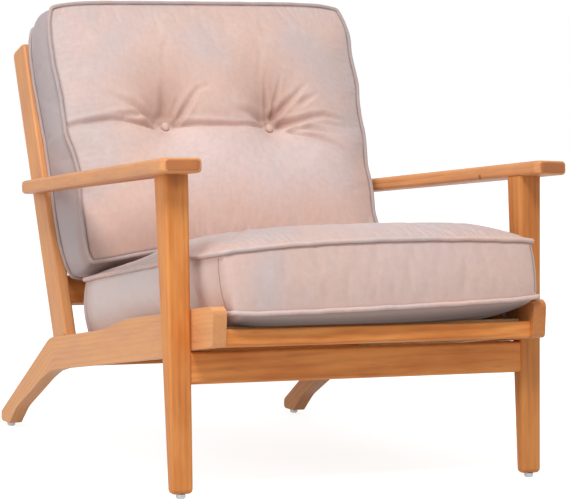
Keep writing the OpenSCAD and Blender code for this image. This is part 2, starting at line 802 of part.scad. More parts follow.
// Roundness of the underside behind its piping
belly_power = 0.4;
function sag_share(u) = pow(max(0, 1 - pow(u / sag_width, 2)), sag_power);
function seat_x(u, v) = (seat_half - seat_draw * pow(max(0, 1 - v * v), 2)) * u
    * (1 - seat_corner * pow(v, corner_power));
function seat_y(u, v) = seat_mid + seat_half_len * v * (1 - seat_corner * pow(u, corner_power));
seat_upper = function (u, v) [
    seat_x(u, v),
    seat_y(u, v) + seat_front_lean * (1 - v) / 2 - seat_rear_lean * (1 + v) / 2,
    seat_low_z + seat_boxing - seat_thinning * (1 + v) / 2
        + seat_crown * dome(u, v, seat_crown_power) * pressed(v)
];
seat_lower = function (u, v) [
    seat_x(u, v),
    seat_y(u, v),
    seat_low_z - (seat_sag + (seat_low_crown - seat_sag) * pow(max(0, 1 - v * v), belly_power)) * sag_share(u)
];

seat_core_wall = 22;
seat_core_r = 25;
module seat_core_block(grow) {
    w = 2 * (seat_half - seat_core_wall - seat_draw) + 2 * grow;
    l = 2 * (seat_half_len - seat_core_wall) - seat_front_lean - seat_rear_lean + 2 * grow;
    h = seat_boxing - seat_thinning - 2 * seat_core_wall / 3 + 2 * grow;
    r = seat_core_r + grow;
    mid = seat_mid + (seat_front_lean - seat_rear_lean) / 2;
    on_seat() translate([-w / 2, mid - l / 2, seat_low_z + seat_core_wall / 3 - grow])
        linear_extrude(h) polygon(rounded([[0, 0, r], [w, 0, r], [w, l, r], [0, l, r]]));
}
module seat_cushion_cover() {
    color(velvet) in_frame() difference() {
        on_seat() box_cushion(seat_nu, seat_nv, seat_upper, seat_lower, seat_rings, seat_bulge);
        seat_core_block(soft_gap);
    }
}
module seat_foam_core() {
    color(foam) in_frame() seat_core_block(0);
}
module seat_piping_top() {
    color(velvet) in_frame() on_seat() piping(rim(seat_nu, seat_nv, seat_upper));
}
module seat_piping_bottom() {
    color(velvet) in_frame() on_seat() piping(rim(seat_nu, seat_nv, seat_lower));
}

// Back cushion, in the posts' plane
back_nu = 22;
back_nv = 16;
back_corner_x = 0.045;
back_corner_y = 0.035;
back_bulge = 10;
back_rings = 2;
back_draw = 3;
draw_spread = 90;
back_crown_power = 0.6;
back_arch_power = 0.8;
rear_crown_power = 0.8;
back_half = back_w / 2 - piping_r - piping_off;
back_rear_n = piping_off;
back_rear_crown = 12;
tuft_spread = 44;
fold_depth = 7;
fold_spread = 26;
rear_tuft_depth = 9;
tuft_fade = 1.6;
back_inset = piping_r + piping_off;
function back_s(u, v, drop, low_arch, rim_inset) =
    let (
        low = back_low - drop + low_arch * (1 - u * u) + back_inset + rim_inset,
        high = back_high + back_arch * pow(1 - u * u, back_arch_power) - back_inset - rim_inset,
        w = v * (1 - back_corner_y * pow(u, corner_power))
    )
    mix(low, high, (w + 1) / 2);
// Fall of the front towards the tufts and along the fold that joins them
function tuft_fall(x, s) =
    let (
        dx = abs(x) - tuft_pitch / 2,
        dy = s - tuft_s,
        fold = fold_depth * exp(-pow(dy / fold_spread, 2))
    )
    fold + (tuft_depth - fold_depth) * exp(-(dx * dx + dy * dy) / pow(tuft_spread, 2));
function back_x(u, v, s) =
    let (draw = back_draw * exp(-pow((s - tuft_s) / draw_spread, 2)))
    (back_half + back_flare * (1 + v) / 4 - draw) * u * (1 - back_corner_x * pow(v, corner_power));
function back_edge_n(v) = back_rear_n + back_boxing + back_belly * pow((1 - v) / 2, 3);
back_upper = function (u, v)
    let (
        s = back_s(u, v, back_low_drop, back_low_arch, 0),
        x = back_x(u, v, s),
        rise = dome(u, v, back_crown_power)
    )
    [x, s, back_edge_n(v) + back_crown * rise - tuft_fall(x, s) * min(1, tuft_fade * rise)];
back_lower = function (u, v)
    let (
        s = back_s(u, v, 0, 0, back_rear_inset),
        x = back_x(u, v, s) - back_rear_inset * u,
        rise = dome(u, v, rear_crown_power),
        dx = abs(x) - tuft_pitch / 2,
        dy = s - tuft_s
    )
    [x, s, back_rear_n - back_rear_crown * rise
        + rear_tuft_depth * exp(-(dx * dx + dy * dy) / pow(tuft_spread, 2))];

// Heights of the buttons' bases at the tufts, a little into the folds
tuft_v = 0.1;
button_sink = 4;
tuft_front_n = back_edge_n(tuft_v) + back_crown - tuft_depth - button_sink;
tuft_rear_n = back_rear_n - back_rear_crown + rear_tuft_depth + button_sink;
button_h = 7;
rear_button_d = 18;
rear_button_h = 4;
twine_d = 2;
module tuft_places() {
    both_sides() on_back() translate([tuft_pitch / 2, tuft_s, 0]) children();
}
module twine_channel() {
    tuft_places() translate([0, 0, tuft_rear_n - soft_gap])
        cylinder(d = twine_d + 2 * soft_gap, h = tuft_front_n - tuft_rear_n + 2 * soft_gap);
}
// Room for the buttons, open to the outside of the cover
module button_pockets() {
    tuft_places() {
        translate([0, 0, tuft_front_n - soft_gap])
            cylinder(d = button_d + 2 * soft_gap, h = tuft_depth + back_crown);
        translate([0, 0, tuft_rear_n + soft_gap - back_rear_crown - rear_button_h])
            cylinder(d = rear_button_d + 2 * soft_gap, h = back_rear_crown + rear_button_h);
    }
}
back_core_wall = 24;
back_core_r = 25;
module back_core_block(grow) {
    w = 2 * (back_half * (1 - back_corner_x) - back_core_wall / 2) + 2 * grow;
    low = back_low + back_inset + back_core_wall - grow;
    high = back_high - back_core_wall - back_inset + grow;
    t = back_boxing - back_core_wall + 2 * grow;
    r = back_core_r + grow;
    on_back() translate([-w / 2, low, back_rear_n + back_core_wall / 3 + rear_tuft_depth - grow])
        linear_extrude(t) polygon(rounded([[0, 0, r], [w, 0, r], [w, high - low, r], [0, high - low, r]]));
}
module back_cushion_cover() {
    color(velvet) in_frame() difference() {
        on_back() box_cushion(back_nu, back_nv, back_upper, back_lower, back_rings, back_bulge);
        back_core_block(soft_gap);
        button_pockets();
        twine_channel();
    }
}
module back_foam_core() {
    color(foam) in_frame() difference() {
        back_core_block(0);
        twine_channel();
    }
}
module back_piping_front() {
    color(velvet) in_frame() on_back() piping(rim(back_nu, back_nv, back_upper));
}
module back_piping_rear() {
    color(velvet) in_frame() on_back() piping(rim(back_nu, back_nv, back_lower));
}
button_rim_h = 3;
module tuft_buttons_front() {
    dome_h = button_h - button_rim_h;
    dome_r = (pow(button_d / 2, 2) + dome_h * dome_h) / (2 * dome_h);
    color(velvet) in_frame() tuft_places() translate([0, 0, tuft_front_n]) {
        cylinder(d = button_d, h = button_rim_h);
        translate([0, 0, button_rim_h]) intersection() {
            translate([0, 0, dome_h - dome_r]) sphere(r = dome_r);
            cylinder(d = button_d, h = dome_h);
        }
    }
}
module tuft_buttons_rear() {
    color(velvet) in_frame() tuft_places() translate([0, 0, tuft_rear_n - rear_button_h])
        cylinder(d = rear_button_d, h = rear_button_h);
}
module tuft_twines() {
    color(twine) in_frame() tuft_places() translate([0, 0, tuft_rear_n])
        cylinder(d = twine_d, h = tuft_front_n - tuft_rear_n);
}

front_leg(-1);  // front_leg_left
front_leg(1);  // front_leg_right
side_member(-1);  // side_member_left
side_member(1);  // side_member_right
back_post(-1);  // back_post_left
back_post(1);  // back_post_right
armrest(-1);  // armrest_left
armrest(1);  // armrest_right
front_stretcher();
seat_front_rail();
seat_rear_rail();
seat_cleat(-1);  // seat_cleat_left
seat_cleat(1);  // seat_cleat_right
seat_slat(1);  // seat_slat_1
seat_slat(2);  // seat_slat_2
seat_slat(3);  // seat_slat_3
seat_slat(4);  // seat_slat_4
seat_slat(5);  // seat_slat_5
seat_slat(6);  // seat_slat_6
seat_slat(7);  // seat_slat_7
back_top_rail();
back_bottom_rail();
back_slat(1);  // back_slat_1
back_slat(2);  // back_slat_2
back_slat(3);  // back_slat_3
back_slat(4);  // back_slat_4
back_slat(5);  // back_slat_5
arm_dowels();
stretcher_dowels();
seat_rail_dowels();
post_dowels();
back_rail_dowels();
leg_bolts();
leg_inserts();
arm_screws();
slat_screws();
cleat_screws();
foot_glides();
seat_cushion_cover();
seat_foam_core();
seat_piping_top();
seat_piping_bottom();
back_cushion_cover();
back_foam_core();
back_piping_front();
back_piping_rear();
tuft_buttons_front();
tuft_buttons_rear();
tuft_twines();
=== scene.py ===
# Lounge armchair: oiled wooden frame with loose piped velvet cushions.
# The chair's sizes and the cushions' shapes are in millimetres. Places given to finishes, lamps and the camera,
# the radii of eased edges and the distances that a finish reads are in metres.
import bmesh
import bpy
import math
from mathutils import Matrix, Vector


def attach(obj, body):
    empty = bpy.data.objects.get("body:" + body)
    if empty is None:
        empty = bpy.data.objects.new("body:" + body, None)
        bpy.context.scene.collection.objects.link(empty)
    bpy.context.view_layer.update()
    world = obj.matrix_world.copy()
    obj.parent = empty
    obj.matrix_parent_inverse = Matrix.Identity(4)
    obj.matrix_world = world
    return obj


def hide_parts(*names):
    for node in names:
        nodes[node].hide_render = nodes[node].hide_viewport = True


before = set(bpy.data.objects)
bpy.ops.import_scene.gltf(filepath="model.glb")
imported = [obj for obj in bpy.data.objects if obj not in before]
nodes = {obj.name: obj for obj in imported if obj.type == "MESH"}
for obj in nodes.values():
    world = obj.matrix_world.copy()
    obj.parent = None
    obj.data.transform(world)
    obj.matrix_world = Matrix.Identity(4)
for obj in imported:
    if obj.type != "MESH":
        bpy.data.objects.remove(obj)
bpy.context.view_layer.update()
scene = bpy.context.scene
scene.view_settings.view_transform = "Standard"
MM = 0.001


def rad(degrees):
    return math.radians(degrees)


def step(t, a, b):
    """Smooth rise from 0 at a to 1 at b."""
    w = min(1.0, max(0.0, (t - a) / (b - a)))
    return w * w * (3 - 2 * w)


def dome(u, v, power):
    """Rise from 0 at the rims of a panel to 1 in its middle."""
    return max(0.0, (1 - u * u) * (1 - v * v)) ** power


def read_off(t, points):
    """Straight-line curve through (t, value) points."""
    for (a, low), (b, high) in zip(points, points[1:]):
        if t <= b:
            return low + (high - low) * max(0.0, t - a) / (b - a)
    return points[-1][1]


def sloped(angle):
    """Direction that falls towards the back by an angle, and the one square to it."""
    level, fall = math.cos(rad(angle)), math.sin(rad(angle))
    return (0, level, -fall), (0, fall, level)


# Sizes of the chair, as its solids have them
side_t = 25
leg_w = 45
post_t = 24
leg_out_x = 360
leg_in_x = leg_out_x - leg_w
side_in_x = leg_in_x - side_t
post_in_x = leg_in_x - post_t
seat_line_z = 299
seat_slope = 9.8
rear_step = 12.6
knee_y = 554
rear_leg_angle = 36.5
arm_z = 517
arm_slope = 6.6
leg_run = 50
post_y = 486
post_lean = 23.5
post_z = seat_line_z - post_y * math.tan(rad(seat_slope)) - rear_step
knee_z = seat_line_z - knee_y * math.tan(rad(seat_slope)) - rear_step
origin_y = -331.54

# Ways that the pieces run, the place where the side boards bend, and faces that pieces butt on
x_way = (1, 0, 0)
seat_along, seat_up = sloped(seat_slope)
arm_along, arm_up = sloped(arm_slope)
rear_along, _ = sloped(rear_leg_angle)
leg_along = (0, leg_run, arm_z)
post_along = (0, math.sin(rad(post_lean)), math.cos(rad(post_lean)))
knee = (0, (origin_y + knee_y) * MM, knee_z * MM)
arm_face = ((0, origin_y * MM, arm_z * MM), arm_up)
seat_face = ((0, (origin_y + post_y) * MM, post_z * MM), seat_up)
floor_face = ((0, 0, 0), (0, 0, 1))

# The cushions' own planes: x across, y along the panels and z out of the upper or front one
seat_plane = Matrix.Translation((0, origin_y, seat_line_z)) @ Matrix.Rotation(rad(-seat_slope), 4, "X")
back_plane = Matrix.Translation((0, origin_y + post_y, post_z)) @ Matrix.Rotation(rad(90 - post_lean), 4, "X")


def put(name, data):
    """A new object in the scene."""
    thing = bpy.data.objects.new(name, data)
    scene.collection.objects.link(thing)
    return thing


# Camera and lamps: the photo's size, the focal length and the row that the camera's axis meets are in pixels
PHOTO_W, PHOTO_H = 570, 502
FOCAL_PX = 2524.16
AXIS_ROW = 300.07
CAMERA_AT = (-2.0917, -3.9544, 0.7221)
CAMERA_YAW, CAMERA_PITCH, CAMERA_ROLL = 28.3787, 5.6913, 1.8249
LAMPS_AIM = Vector((0, 0, 0.4))


def place_camera():
    """The camera that the photo's edges and corners gave."""
    yaw, pitch, roll = rad(CAMERA_YAW), rad(CAMERA_PITCH), rad(CAMERA_ROLL)
    ahead = Vector((math.sin(yaw) * math.cos(pitch), math.cos(yaw) * math.cos(pitch), -math.sin(pitch)))
    level = Vector((math.cos(yaw), -math.sin(yaw), 0))
    up = level.cross(ahead)
    right = level * math.cos(roll) + up * math.sin(roll)
    over = up * math.cos(roll) - level * math.sin(roll)
    data = bpy.data.cameras.new("camera")
    data.sensor_width = 36
    data.lens = FOCAL_PX / PHOTO_W * data.sensor_width
    data.shift_y = (AXIS_ROW - PHOTO_H / 2) / PHOTO_W
    data.clip_end = 60
    camera = put("camera", data)
    turn = Matrix((right, over, -ahead)).transposed().to_4x4()
    camera.matrix_world = Matrix.Translation(CAMERA_AT) @ turn
    scene.camera = camera


def place_lamp(name, at, size, power, colour=(1, 1, 1)):
    """A soft lamp turned to the chair."""
    data = bpy.data.lights.new(name, "AREA")
    data.shape = "RECTANGLE"
    data.size, data.size_y = size
    data.energy = power
    data.color = colour
    lamp = put(name, data)
    lamp.location = at
    lamp.rotation_euler = (LAMPS_AIM - Vector(at)).to_track_quat("-Z", "Y").to_euler()


# Shader maths
class Value:
    """A socket of a finish. Arithmetic on it adds Math nodes."""

    def __init__(self, finish, socket):
        self.finish = finish
        self.socket = socket

    def _math(self, operation, first, second):
        return self.finish.node("ShaderNodeMath", {"operation": operation}, {0: first, 1: second})

    def __add__(self, other):
        return self._math("ADD", self, other)

    def __radd__(self, other):
        return self._math("ADD", other, self)

    def __sub__(self, other):
        return self._math("SUBTRACT", self, other)

    def __rsub__(self, other):
        return self._math("SUBTRACT", other, self)

    def __mul__(self, other):
        return self._math("MULTIPLY", self, other)

    def __rmul__(self, other):
        return self._math("MULTIPLY", other, self)

    def __pow__(self, other):
        return self._math("POWER", self, other)

    def math(self, operation, other=0.0):
        return self._math(operation, self, other)


class Finish:
    """A material and the nodes that make it."""

    def __init__(self, name):
        self.material = bpy.data.materials.new(name)
        self.material.use_nodes = True
        self.tree = self.material.node_tree
        self.tree.nodes.clear()
        self.out = self.tree.nodes.new("ShaderNodeOutputMaterial")

    def node(self, kind, settings=None, inputs=None, output=0):
        """A node of a kind, with its settings, and the values or links of its sockets."""
        made = self.tree.nodes.new(kind)
        for key, value in (settings or {}).items():
            setattr(made, key, value)
        for key, value in (inputs or {}).items():
            socket = made.inputs[key]
            if isinstance(value, Value):
                self.tree.links.new(value.socket, socket)
            else:
                socket.default_value = value
        return Value(self, made.outputs[output])

    def place(self):
        return self.node("ShaderNodeTexCoord", output="Object")

    def kept(self, attribute):
        return self.node("ShaderNodeAttribute", {"attribute_name": attribute}, None, "Fac")

    def dot(self, vector, direction):
        return self.node("ShaderNodeVectorMath", {"operation": "DOT_PRODUCT"},
                         {0: vector, 1: tuple(direction)}, "Value")

    def distance(self, vector, spot):
        return self.node("ShaderNodeVectorMath", {"operation": "DISTANCE"}, {0: vector, 1: spot}, "Value")

    def mapped(self, vector, **settings):
        return self.node("ShaderNodeMapping", None, {"Vector": vector, **settings})

    def combine(self, x, y, z):
        return self.node("ShaderNodeCombineXYZ", None, {0: x, 1: y, 2: z})

    def noise(self, vector, scale, detail=2.0, roughness=0.5, distortion=0.0):
        return self.node("ShaderNodeTexNoise", None, {
            "Vector": vector, "Scale": scale, "Detail": detail, "Roughness": roughness, "Distortion": distortion})

    def between(self, value, low, high, to_low=0.0, to_high=1.0):
        """Smooth change from to_low at low to to_high at high."""
        return self.node("ShaderNodeMapRange", {"interpolation_type": "SMOOTHSTEP"}, {
            "Value": value, "From Min": low, "From Max": high, "To Min": to_low, "To Max": to_high})

    def mix(self, factor, first, second):
        def colour(c):
            return (*c, 1) if isinstance(c, tuple) else c
        return self.node("ShaderNodeMix", {"data_type": "RGBA"},
                         {0: factor, 6: colour(first), 7: colour(second)}, 2)

    def bump(self, height, strength, distance):
        return self.node("ShaderNodeBump", None, {"Height": height, "Strength": strength, "Distance": distance})

    def shade(self, **inputs):
        surface = self.node("ShaderNodeBsdfPrincipled", None, {
            key.replace("_", " "): value for key, value in inputs.items()})
        return self.show(surface)

    def show(self, surface):
        self.tree.links.new(surface.socket, self.out.inputs["Surface"])
        return self.material


# Woods: pale, middle and dark colour, and the pale tone that a board fades to under a painted sheen, a painted
# reflection of the white room
OILED = ((0.76, 0.3, 0.078), (0.61, 0.195, 0.038), (0.34, 0.085, 0.014))
RAW = ((0.72, 0.5, 0.27), (0.62, 0.39, 0.18), (0.42, 0.23, 0.09))
PAINTED_SHEEN_TONE = (0.76, 0.5, 0.3)
KNOT_AND_SHADOW = (0.16, 0.045, 0.012)
END_GRAIN = (0.31, 0.07, 0.008)
BEND_REACH = 0.035


def grain_place(f, at, along, across, pith, bend):
    """Distances from the wood's heart along the grain, across it and through the board."""
    deep = along.cross(across)

    def run_on(way, centre):
        return f.dot(at, way) - centre.dot(way)

    run, wide, thick = [run_on(way, pith) for way in (along, across, deep)]
    if bend:
        second, knee = Vector(bend[0]).normalized(), Vector(bend[1])
        half_way = (along + second).normalized()
        turn_at = knee.dot(half_way)
        share = f.between(f.dot(at, half_way), turn_at - BEND_REACH, turn_at + BEND_REACH)
        run, thick = [before + (after - before) * share for before, after in (
            (run_on(along, knee), run_on(second, knee)),
            (run_on(deep, knee), run_on(second.cross(across), knee)))]
        thick = thick + (knee.dot(deep) - pith.dot(deep))
    return run, wide, thick


def wood(name, along, across, pith, seed, bend=None, knots_and_shadows=(), colours=OILED, tint=1.0, painted_sheen=0.0, ends=0.0):
    """Hardwood whose grain runs along a direction, with its heart at a point beside the piece.

    bend is the direction past a knee and the knee's place. A knot, or a painted shadow drawn as a dark spot like
    one, is its place, size and strength. The streaks come in so many a metre, few along the grain and many across
    it."""
    f = Finish(name)
    at = f.place()
    run, wide, thick = grain_place(
        f, at, Vector(along).normalized(), Vector(across).normalized(), Vector(pith), bend)

    def streaks(shift, run_rate, rate, *detail):
        return f.noise(f.combine(run * run_rate + shift, wide * rate, thick * rate), 1.0, *detail)

    slow = streaks(seed, 2.2, 6.0, 2.0)
    fine = streaks(seed, 9.0, 170.0, 3.0, 0.65)
    cloud = streaks(-seed, 5.0, 22.0, 3.0, 0.6)
    pore = f.between(streaks(seed, 40.0, 1500.0, 2.0, 0.7), 0.6, 0.78)
    sway = (slow - 0.5) * 0.03
    ring_at = ((wide + sway) * (wide + sway) + (thick + sway * 0.6) * (thick + sway * 0.6)) ** 0.5
    rings = ((ring_at * 900.0 + fine * 3.5 + cloud * 3.0).math("SINE") * 0.5 + 0.5) ** 1.6

    # The sheen setting fades all the colours of a piece towards a pale tone: a painted reflection of the white room
    pale, mid, dark = [
        tuple(min(1.0, (c + (w - c) * painted_sheen) * tint) for c, w in zip(colour, PAINTED_SHEEN_TONE)) for colour in colours]
    colour = f.mix(f.between(cloud, 0.32, 0.7), mid, pale)
    colour = f.mix(rings * f.between(slow, 0.3, 0.72, 0.06, 0.4), colour, dark)
    colour = f.mix(f.between(fine, 0.48, 0.78) * 0.5, colour, dark)
    colour = f.mix(pore * 0.3, colour, dark)
    # Dark spots: knots, and the arm's shadow painted on the left leg's top
    for spot, size, strength in knots_and_shadows:
        gap = f.distance(at, spot) + (fine - 0.5) * size * 0.5
        colour = f.mix(f.between(gap, size * 0.35, size * 1.3, strength, 0.0), colour, KNOT_AND_SHADOW)
    # Eased edges turn paler: a painted highlight along the rounded edges
    colour = f.mix(f.kept("edge") * f.between(cloud, 0.3, 0.7, 0.1, 0.4), colour, pale)
    if ends:
        colour = f.mix(f.kept("end") * ends, colour, END_GRAIN)
    return f.shade(Base_Color=colour, Roughness=f.between(cloud, 0.3, 0.7, 0.42, 0.52) + pore * 0.15,
                   Specular_IOR_Level=0.35, Normal=f.bump(0.5 - pore * 0.5 + rings * 0.15, 0.25, 0.0003))


# Velvet: colours of its nap where it lies one way and the other, of its light and dark spots, and of the painted
# shade beside its piping and in its corner seams
NAP = ((0.74, 0.5, 0.42), (0.585, 0.497, 0.494), (0.74, 0.635, 0.61), (0.49, 0.385, 0.365))
SEAM_SHADE = (0.27, 0.2, 0.19)
CORNER_SEAM_SHADE = (0.25, 0.19, 0.18)
PUCKER_RATE = 480.0


def puckered(f, crush, broad):
    """Gathers that run in from the seams, strongest beside them."""
    waves = 0.0
    for run, gap in (("across", "from_ends"), ("along", "from_sides")):
        wave = (f.kept(run) * PUCKER_RATE + (crush - 0.5) * 14.0).math("SINE") * 0.5 + 0.5
        near = f.between(f.kept(gap), 0.004, 0.12, 1.0, 0.0)
        waves = wave * near * f.between(broad, 0.35, 0.6, 0.35, 1.0) + waves
    return waves


def velvet(name, seed, shade, warm_at=(), sheen_and_shade_at=(), pale=(0.78, 0.68, 0.7), puckers=0.0,
           wall=(0.43, 0.37, 0.385), deep=(0.4, 0.225, 0.165)):
    """Short-piled velvet: soft blotches where the nap lies another way, over a fine pile.

    The warm and the pale places are (place, reach) of rosier spots and of spots in the pale colour: painted sheen
    on the cushions and painted shade on the back's piping. A cover, which has puckers, also reads what mark() keeps
    on it: wall is the colour of its boxing, painted sheen on the seat's and partly painted shade on the back's, and
    deep is painted shade in its folds and a painted shadow under the seat's belly."""
    f = Finish(name)
    own = f.place()
    at = f.mapped(own, Location=(seed, seed * 0.7, seed * 1.3))
    broad = f.noise(at, 6.0, 2.0, 0.5, 0.3)
    crush = f.noise(at, 26.0, 4.0, 0.62, 0.3)
    mottle = f.noise(at, 95.0, 4.0, 0.65, 0.2)
    brushed = f.noise(f.mapped(at, Scale=(150.0, 150.0, 22.0)), 1.0, 3.0, 0.6)
    pile = f.noise(at, 1600.0, 2.0, 0.7)
    rose, grey, light, dark = [tuple(c * shade for c in colour) for colour in NAP]
    lean = f.between(broad, 0.36, 0.64, 0.1, 0.78)
    for centre, reach in warm_at:
        gap = f.distance(own, centre) + (crush - 0.5) * 0.1
        lean = lean * f.between(gap, reach * 0.3, reach, 0.1, 1.0)
    colour = f.mix(lean, rose, grey)
    colour = f.mix(f.between(crush, 0.5, 0.75, 0.0, 0.3), colour, light)
    # Spots in the pale colour: painted sheen on the cushions, painted shade on the back's piping
    for centre, reach in sheen_and_shade_at:
        gap = f.distance(own, centre) + (crush - 0.5) * 0.06
        colour = f.mix(f.between(gap, reach * 0.2, reach, 0.42, 0.0), colour, pale)
    colour = f.mix(f.between(mottle, 0.35, 0.75, 0.0, 0.28), colour, dark)
    colour = f.mix(f.between(brushed, 0.42, 0.75, 0.0, 0.15), colour, light)
    colour = f.mix(f.between(pile, 0.4, 0.7, 0.0, 0.08), colour, dark)
    height = crush * 0.4 + mottle * 0.3 + brushed * 0.08 + pile * 0.06
    if puckers:
        from_seam = f.kept("from_seam")
        # The boxing's wall colour: painted sheen on the seat's sides; on the back's boxing partly painted shade and
        # partly the nap's own darker tone
        colour = f.mix(f.kept("boxing") * 0.75, colour, wall)
        # Painted shade in the back's creases and painted shadow under the seat's belly
        colour = f.mix(f.kept("fold"), colour, deep)
        # A narrow line of painted shade beside the piping
        colour = f.mix(f.between(from_seam, 0.0, 0.005, 0.5, 0.0), colour, SEAM_SHADE)
        # The corner seams are sunk a little and darkened with painted shade
        joint = f.between(f.kept("from_corner").math("ABSOLUTE"), 0.0006, 0.0024, 1.0, 0.0)
        colour = f.mix(joint * 0.75, colour, CORNER_SEAM_SHADE)
        waves = puckered(f, crush, broad)
        # Painted shade in the hollows of the gathers and in a band along the seams
        shaded_hollows = (1.0 - waves).math("MAXIMUM", 0.0)
        colour = f.mix(shaded_hollows * f.between(from_seam, 0.002, 0.12, 0.22 * puckers, 0.0), colour, dark)
        height = height - joint * 0.8 + waves * puckers
    return f.shade(Base_Color=colour, Roughness=f.between(crush, 0.3, 0.7, 0.92, 0.8),
                   Specular_IOR_Level=0.2, Sheen_Weight=0.25, Sheen_Roughness=0.4,
                   Sheen_Tint=(1.0, 0.94, 0.92, 1.0), Normal=f.bump(height, 0.4, 0.0012))


def metal(name, colour, roughness):
    """Plated metal, scuffed here and there."""
    f = Finish(name)
    scuff = f.noise(f.place(), 260.0, 4.0, 0.7)
    tone = f.mix(f.between(scuff, 0.35, 0.7, 0.0, 0.5), colour, tuple(c * 0.55 for c in colour))
    return f.shade(Base_Color=tone, Metallic=1.0, Roughness=f.between(scuff, 0.3, 0.7, roughness, roughness + 0.2),
                   Normal=f.bump(scuff, 0.15, 0.0002))


def seen_direct(f):
    """One for the camera and for what it sees in gloss or through glass, nil for other light."""
    rays = [f.node("ShaderNodeLightPath", None, None, name) for name in (
        "Is Camera Ray", "Is Glossy Ray", "Is Transmission Ray")]
    return rays[0].math("MAXIMUM", rays[1]).math("MAXIMUM", rays[2])


def paper_white(name):
    """Floor: near white to the camera, with the chair's soft shadow kept."""
    f = Finish(name)
    plain = f.node("ShaderNodeBsdfDiffuse", None, {"Color": (0.62, 0.62, 0.62, 1)})
    glow = f.node("ShaderNodeEmission", None, {"Color": (1, 1, 1, 1), "Strength": 0.78})
    dark = f.node("ShaderNodeEmission", None, {"Color": (0, 0, 0, 1), "Strength": 0.0})
    lift = f.node("ShaderNodeMixShader", None, {0: seen_direct(f), 1: dark, 2: glow})
    return f.show(f.node("ShaderNodeAddShader", None, {0: plain, 1: lift}))


class Room(Finish):
    """The world's own nodes."""

    def __init__(self, name):
        self.material = bpy.data.worlds.new(name)
        self.material.use_nodes = True
        self.tree = self.material.node_tree
        self.tree.nodes.clear()
        self.out = self.tree.nodes.new("ShaderNodeOutputWorld")


def light_the_room():
    """A soft pale world with one main lamp and two weak ones."""
    f = Room("room")
    soft = f.node("ShaderNodeBackground", None, {"Color": (0.97, 0.98, 1.0, 1), "Strength": 0.5})
    white = f.node("ShaderNodeBackground", None, {"Color": (1, 1, 1, 1), "Strength": 1.0})
    scene.world = f.show(f.node("ShaderNodeMixShader", None, {0: seen_direct(f), 1: soft, 2: white}))
    place_lamp("key", (-1.3, -2.1, 3.5), (1.1, 1.1), 86, (1.0, 0.985, 0.96))
    place_lamp("left", (-3.2, -0.6, 1.3), (2.2, 2.2), 25)
    place_lamp("front", (-0.6, -3.6, 1.0), (1.6, 1.6), 7)


def finished(bm, name, material, smooth=True):
    """A new piece of the scene from a bmesh."""
    mesh = bpy.data.meshes.new(name)
    bm.to_mesh(mesh)
    bm.free()
    mesh.materials.append(material)
    if smooth:
        mesh.shade_smooth()
    return put(name, mesh)


# Wooden pieces: points nearer than WELD are one, edges are sharp from an angle on and shade as sharp from another,
# loops of edges that reach less than LARGE aren't eased, an edge within FLUSH_GAP of a neighbour's face lies on it,
# and a face whose normal is END_ON along the grain is an end
WELD = 0.00002
SHARP_ANGLE, SHADED_ANGLE = 30, 40
LARGE = 0.045
FLUSH_GAP = 0.0006
END_ON = 0.95


def long_edges(bm, flush):
    """Sharp edges of a wooden piece that get eased.

    The rims of holes stay sharp, and so do ends that butt on a neighbour. flush is a point and a normal of each
    such face."""
    sharp = [e for e in bm.edges if len(e.link_faces) == 2 and e.calc_face_angle(0) > rad(SHARP_ANGLE)]
    group = {}

    def root(v):
        while group.setdefault(v, v) != v:
            v = group[v]
        return v

    for e in sharp:
        group[root(e.verts[0])] = root(e.verts[1])
    reach = {}
    for e in sharp:
        reach.setdefault(root(e.verts[0]), []).extend(v.co for v in e.verts)

    def wide(points):
        return max((max(p[i] for p in points) - min(p[i] for p in points)) for i in range(3)) > LARGE

    def butts(e):
        return any(all(abs((Vector(p) - v.co).dot(Vector(n).normalized())) < FLUSH_GAP for v in e.verts)
                   for p, n in flush)

    large = {r for r, points in reach.items() if wide(points)}
    return [e for e in sharp if root(e.verts[0]) in large and not butts(e)]


def eased(node, radius, material, flush=(), segments=4, grain=None):
    """The node's solid with its long edges rounded, as a new piece in its place.

    Where grain is given, the faces across it are kept as end grain for the finish."""
    bm = bmesh.new()
    bm.from_mesh(nodes[node.replace("_right", "_left")].data)
    bmesh.ops.remove_doubles(bm, verts=bm.verts, dist=WELD)
    bmesh.ops.dissolve_limit(bm, angle_limit=rad(1), use_dissolve_boundaries=False, verts=bm.verts, edges=bm.edges)
    picked = long_edges(bm, flush)
    edge = bm.verts.layers.float.new("edge")
    made = bmesh.ops.bevel(bm, geom=picked, offset=radius, offset_type="OFFSET", affect="EDGES", segments=segments,
                           profile=0.5, material=-1, clamp_overlap=True)
    # The eased faces are kept for the finish's painted highlight on the rounded edges
    for v in {v for face in made["faces"] for v in face.verts}:
        v[edge] = 1.0
    if grain:
        end = bm.verts.layers.float.new("end")
        bm.normal_update()
        for v in {v for face in bm.faces if abs(face.normal.dot(grain)) > END_ON for v in face.verts}:
            v[end] = 1.0
    if node.endswith("_right"):
        bmesh.ops.scale(bm, verts=bm.verts, vec=(-1, 1, 1))
        bmesh.ops.reverse_faces(bm, faces=bm.faces)
    piece = finished(bm, node + "_eased", material)
    piece.data.set_sharp_from_angle(angle=rad(SHADED_ANGLE))
    normals = piece.modifiers.new("flat faces", "WEIGHTED_NORMAL")
    normals.keep_sharp = True
    normals.weight = 80
    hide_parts(node)
    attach(piece, "frame")
    "deck_wood" if "seat_slat" in node or "cleat" in node else "frame_wood"


def both_sides(x):
    """The faces that a rail of this half width butts on."""
    return [((side * x * MM, 0, 0), (1, 0, 0)) for side in (-1, 1)]


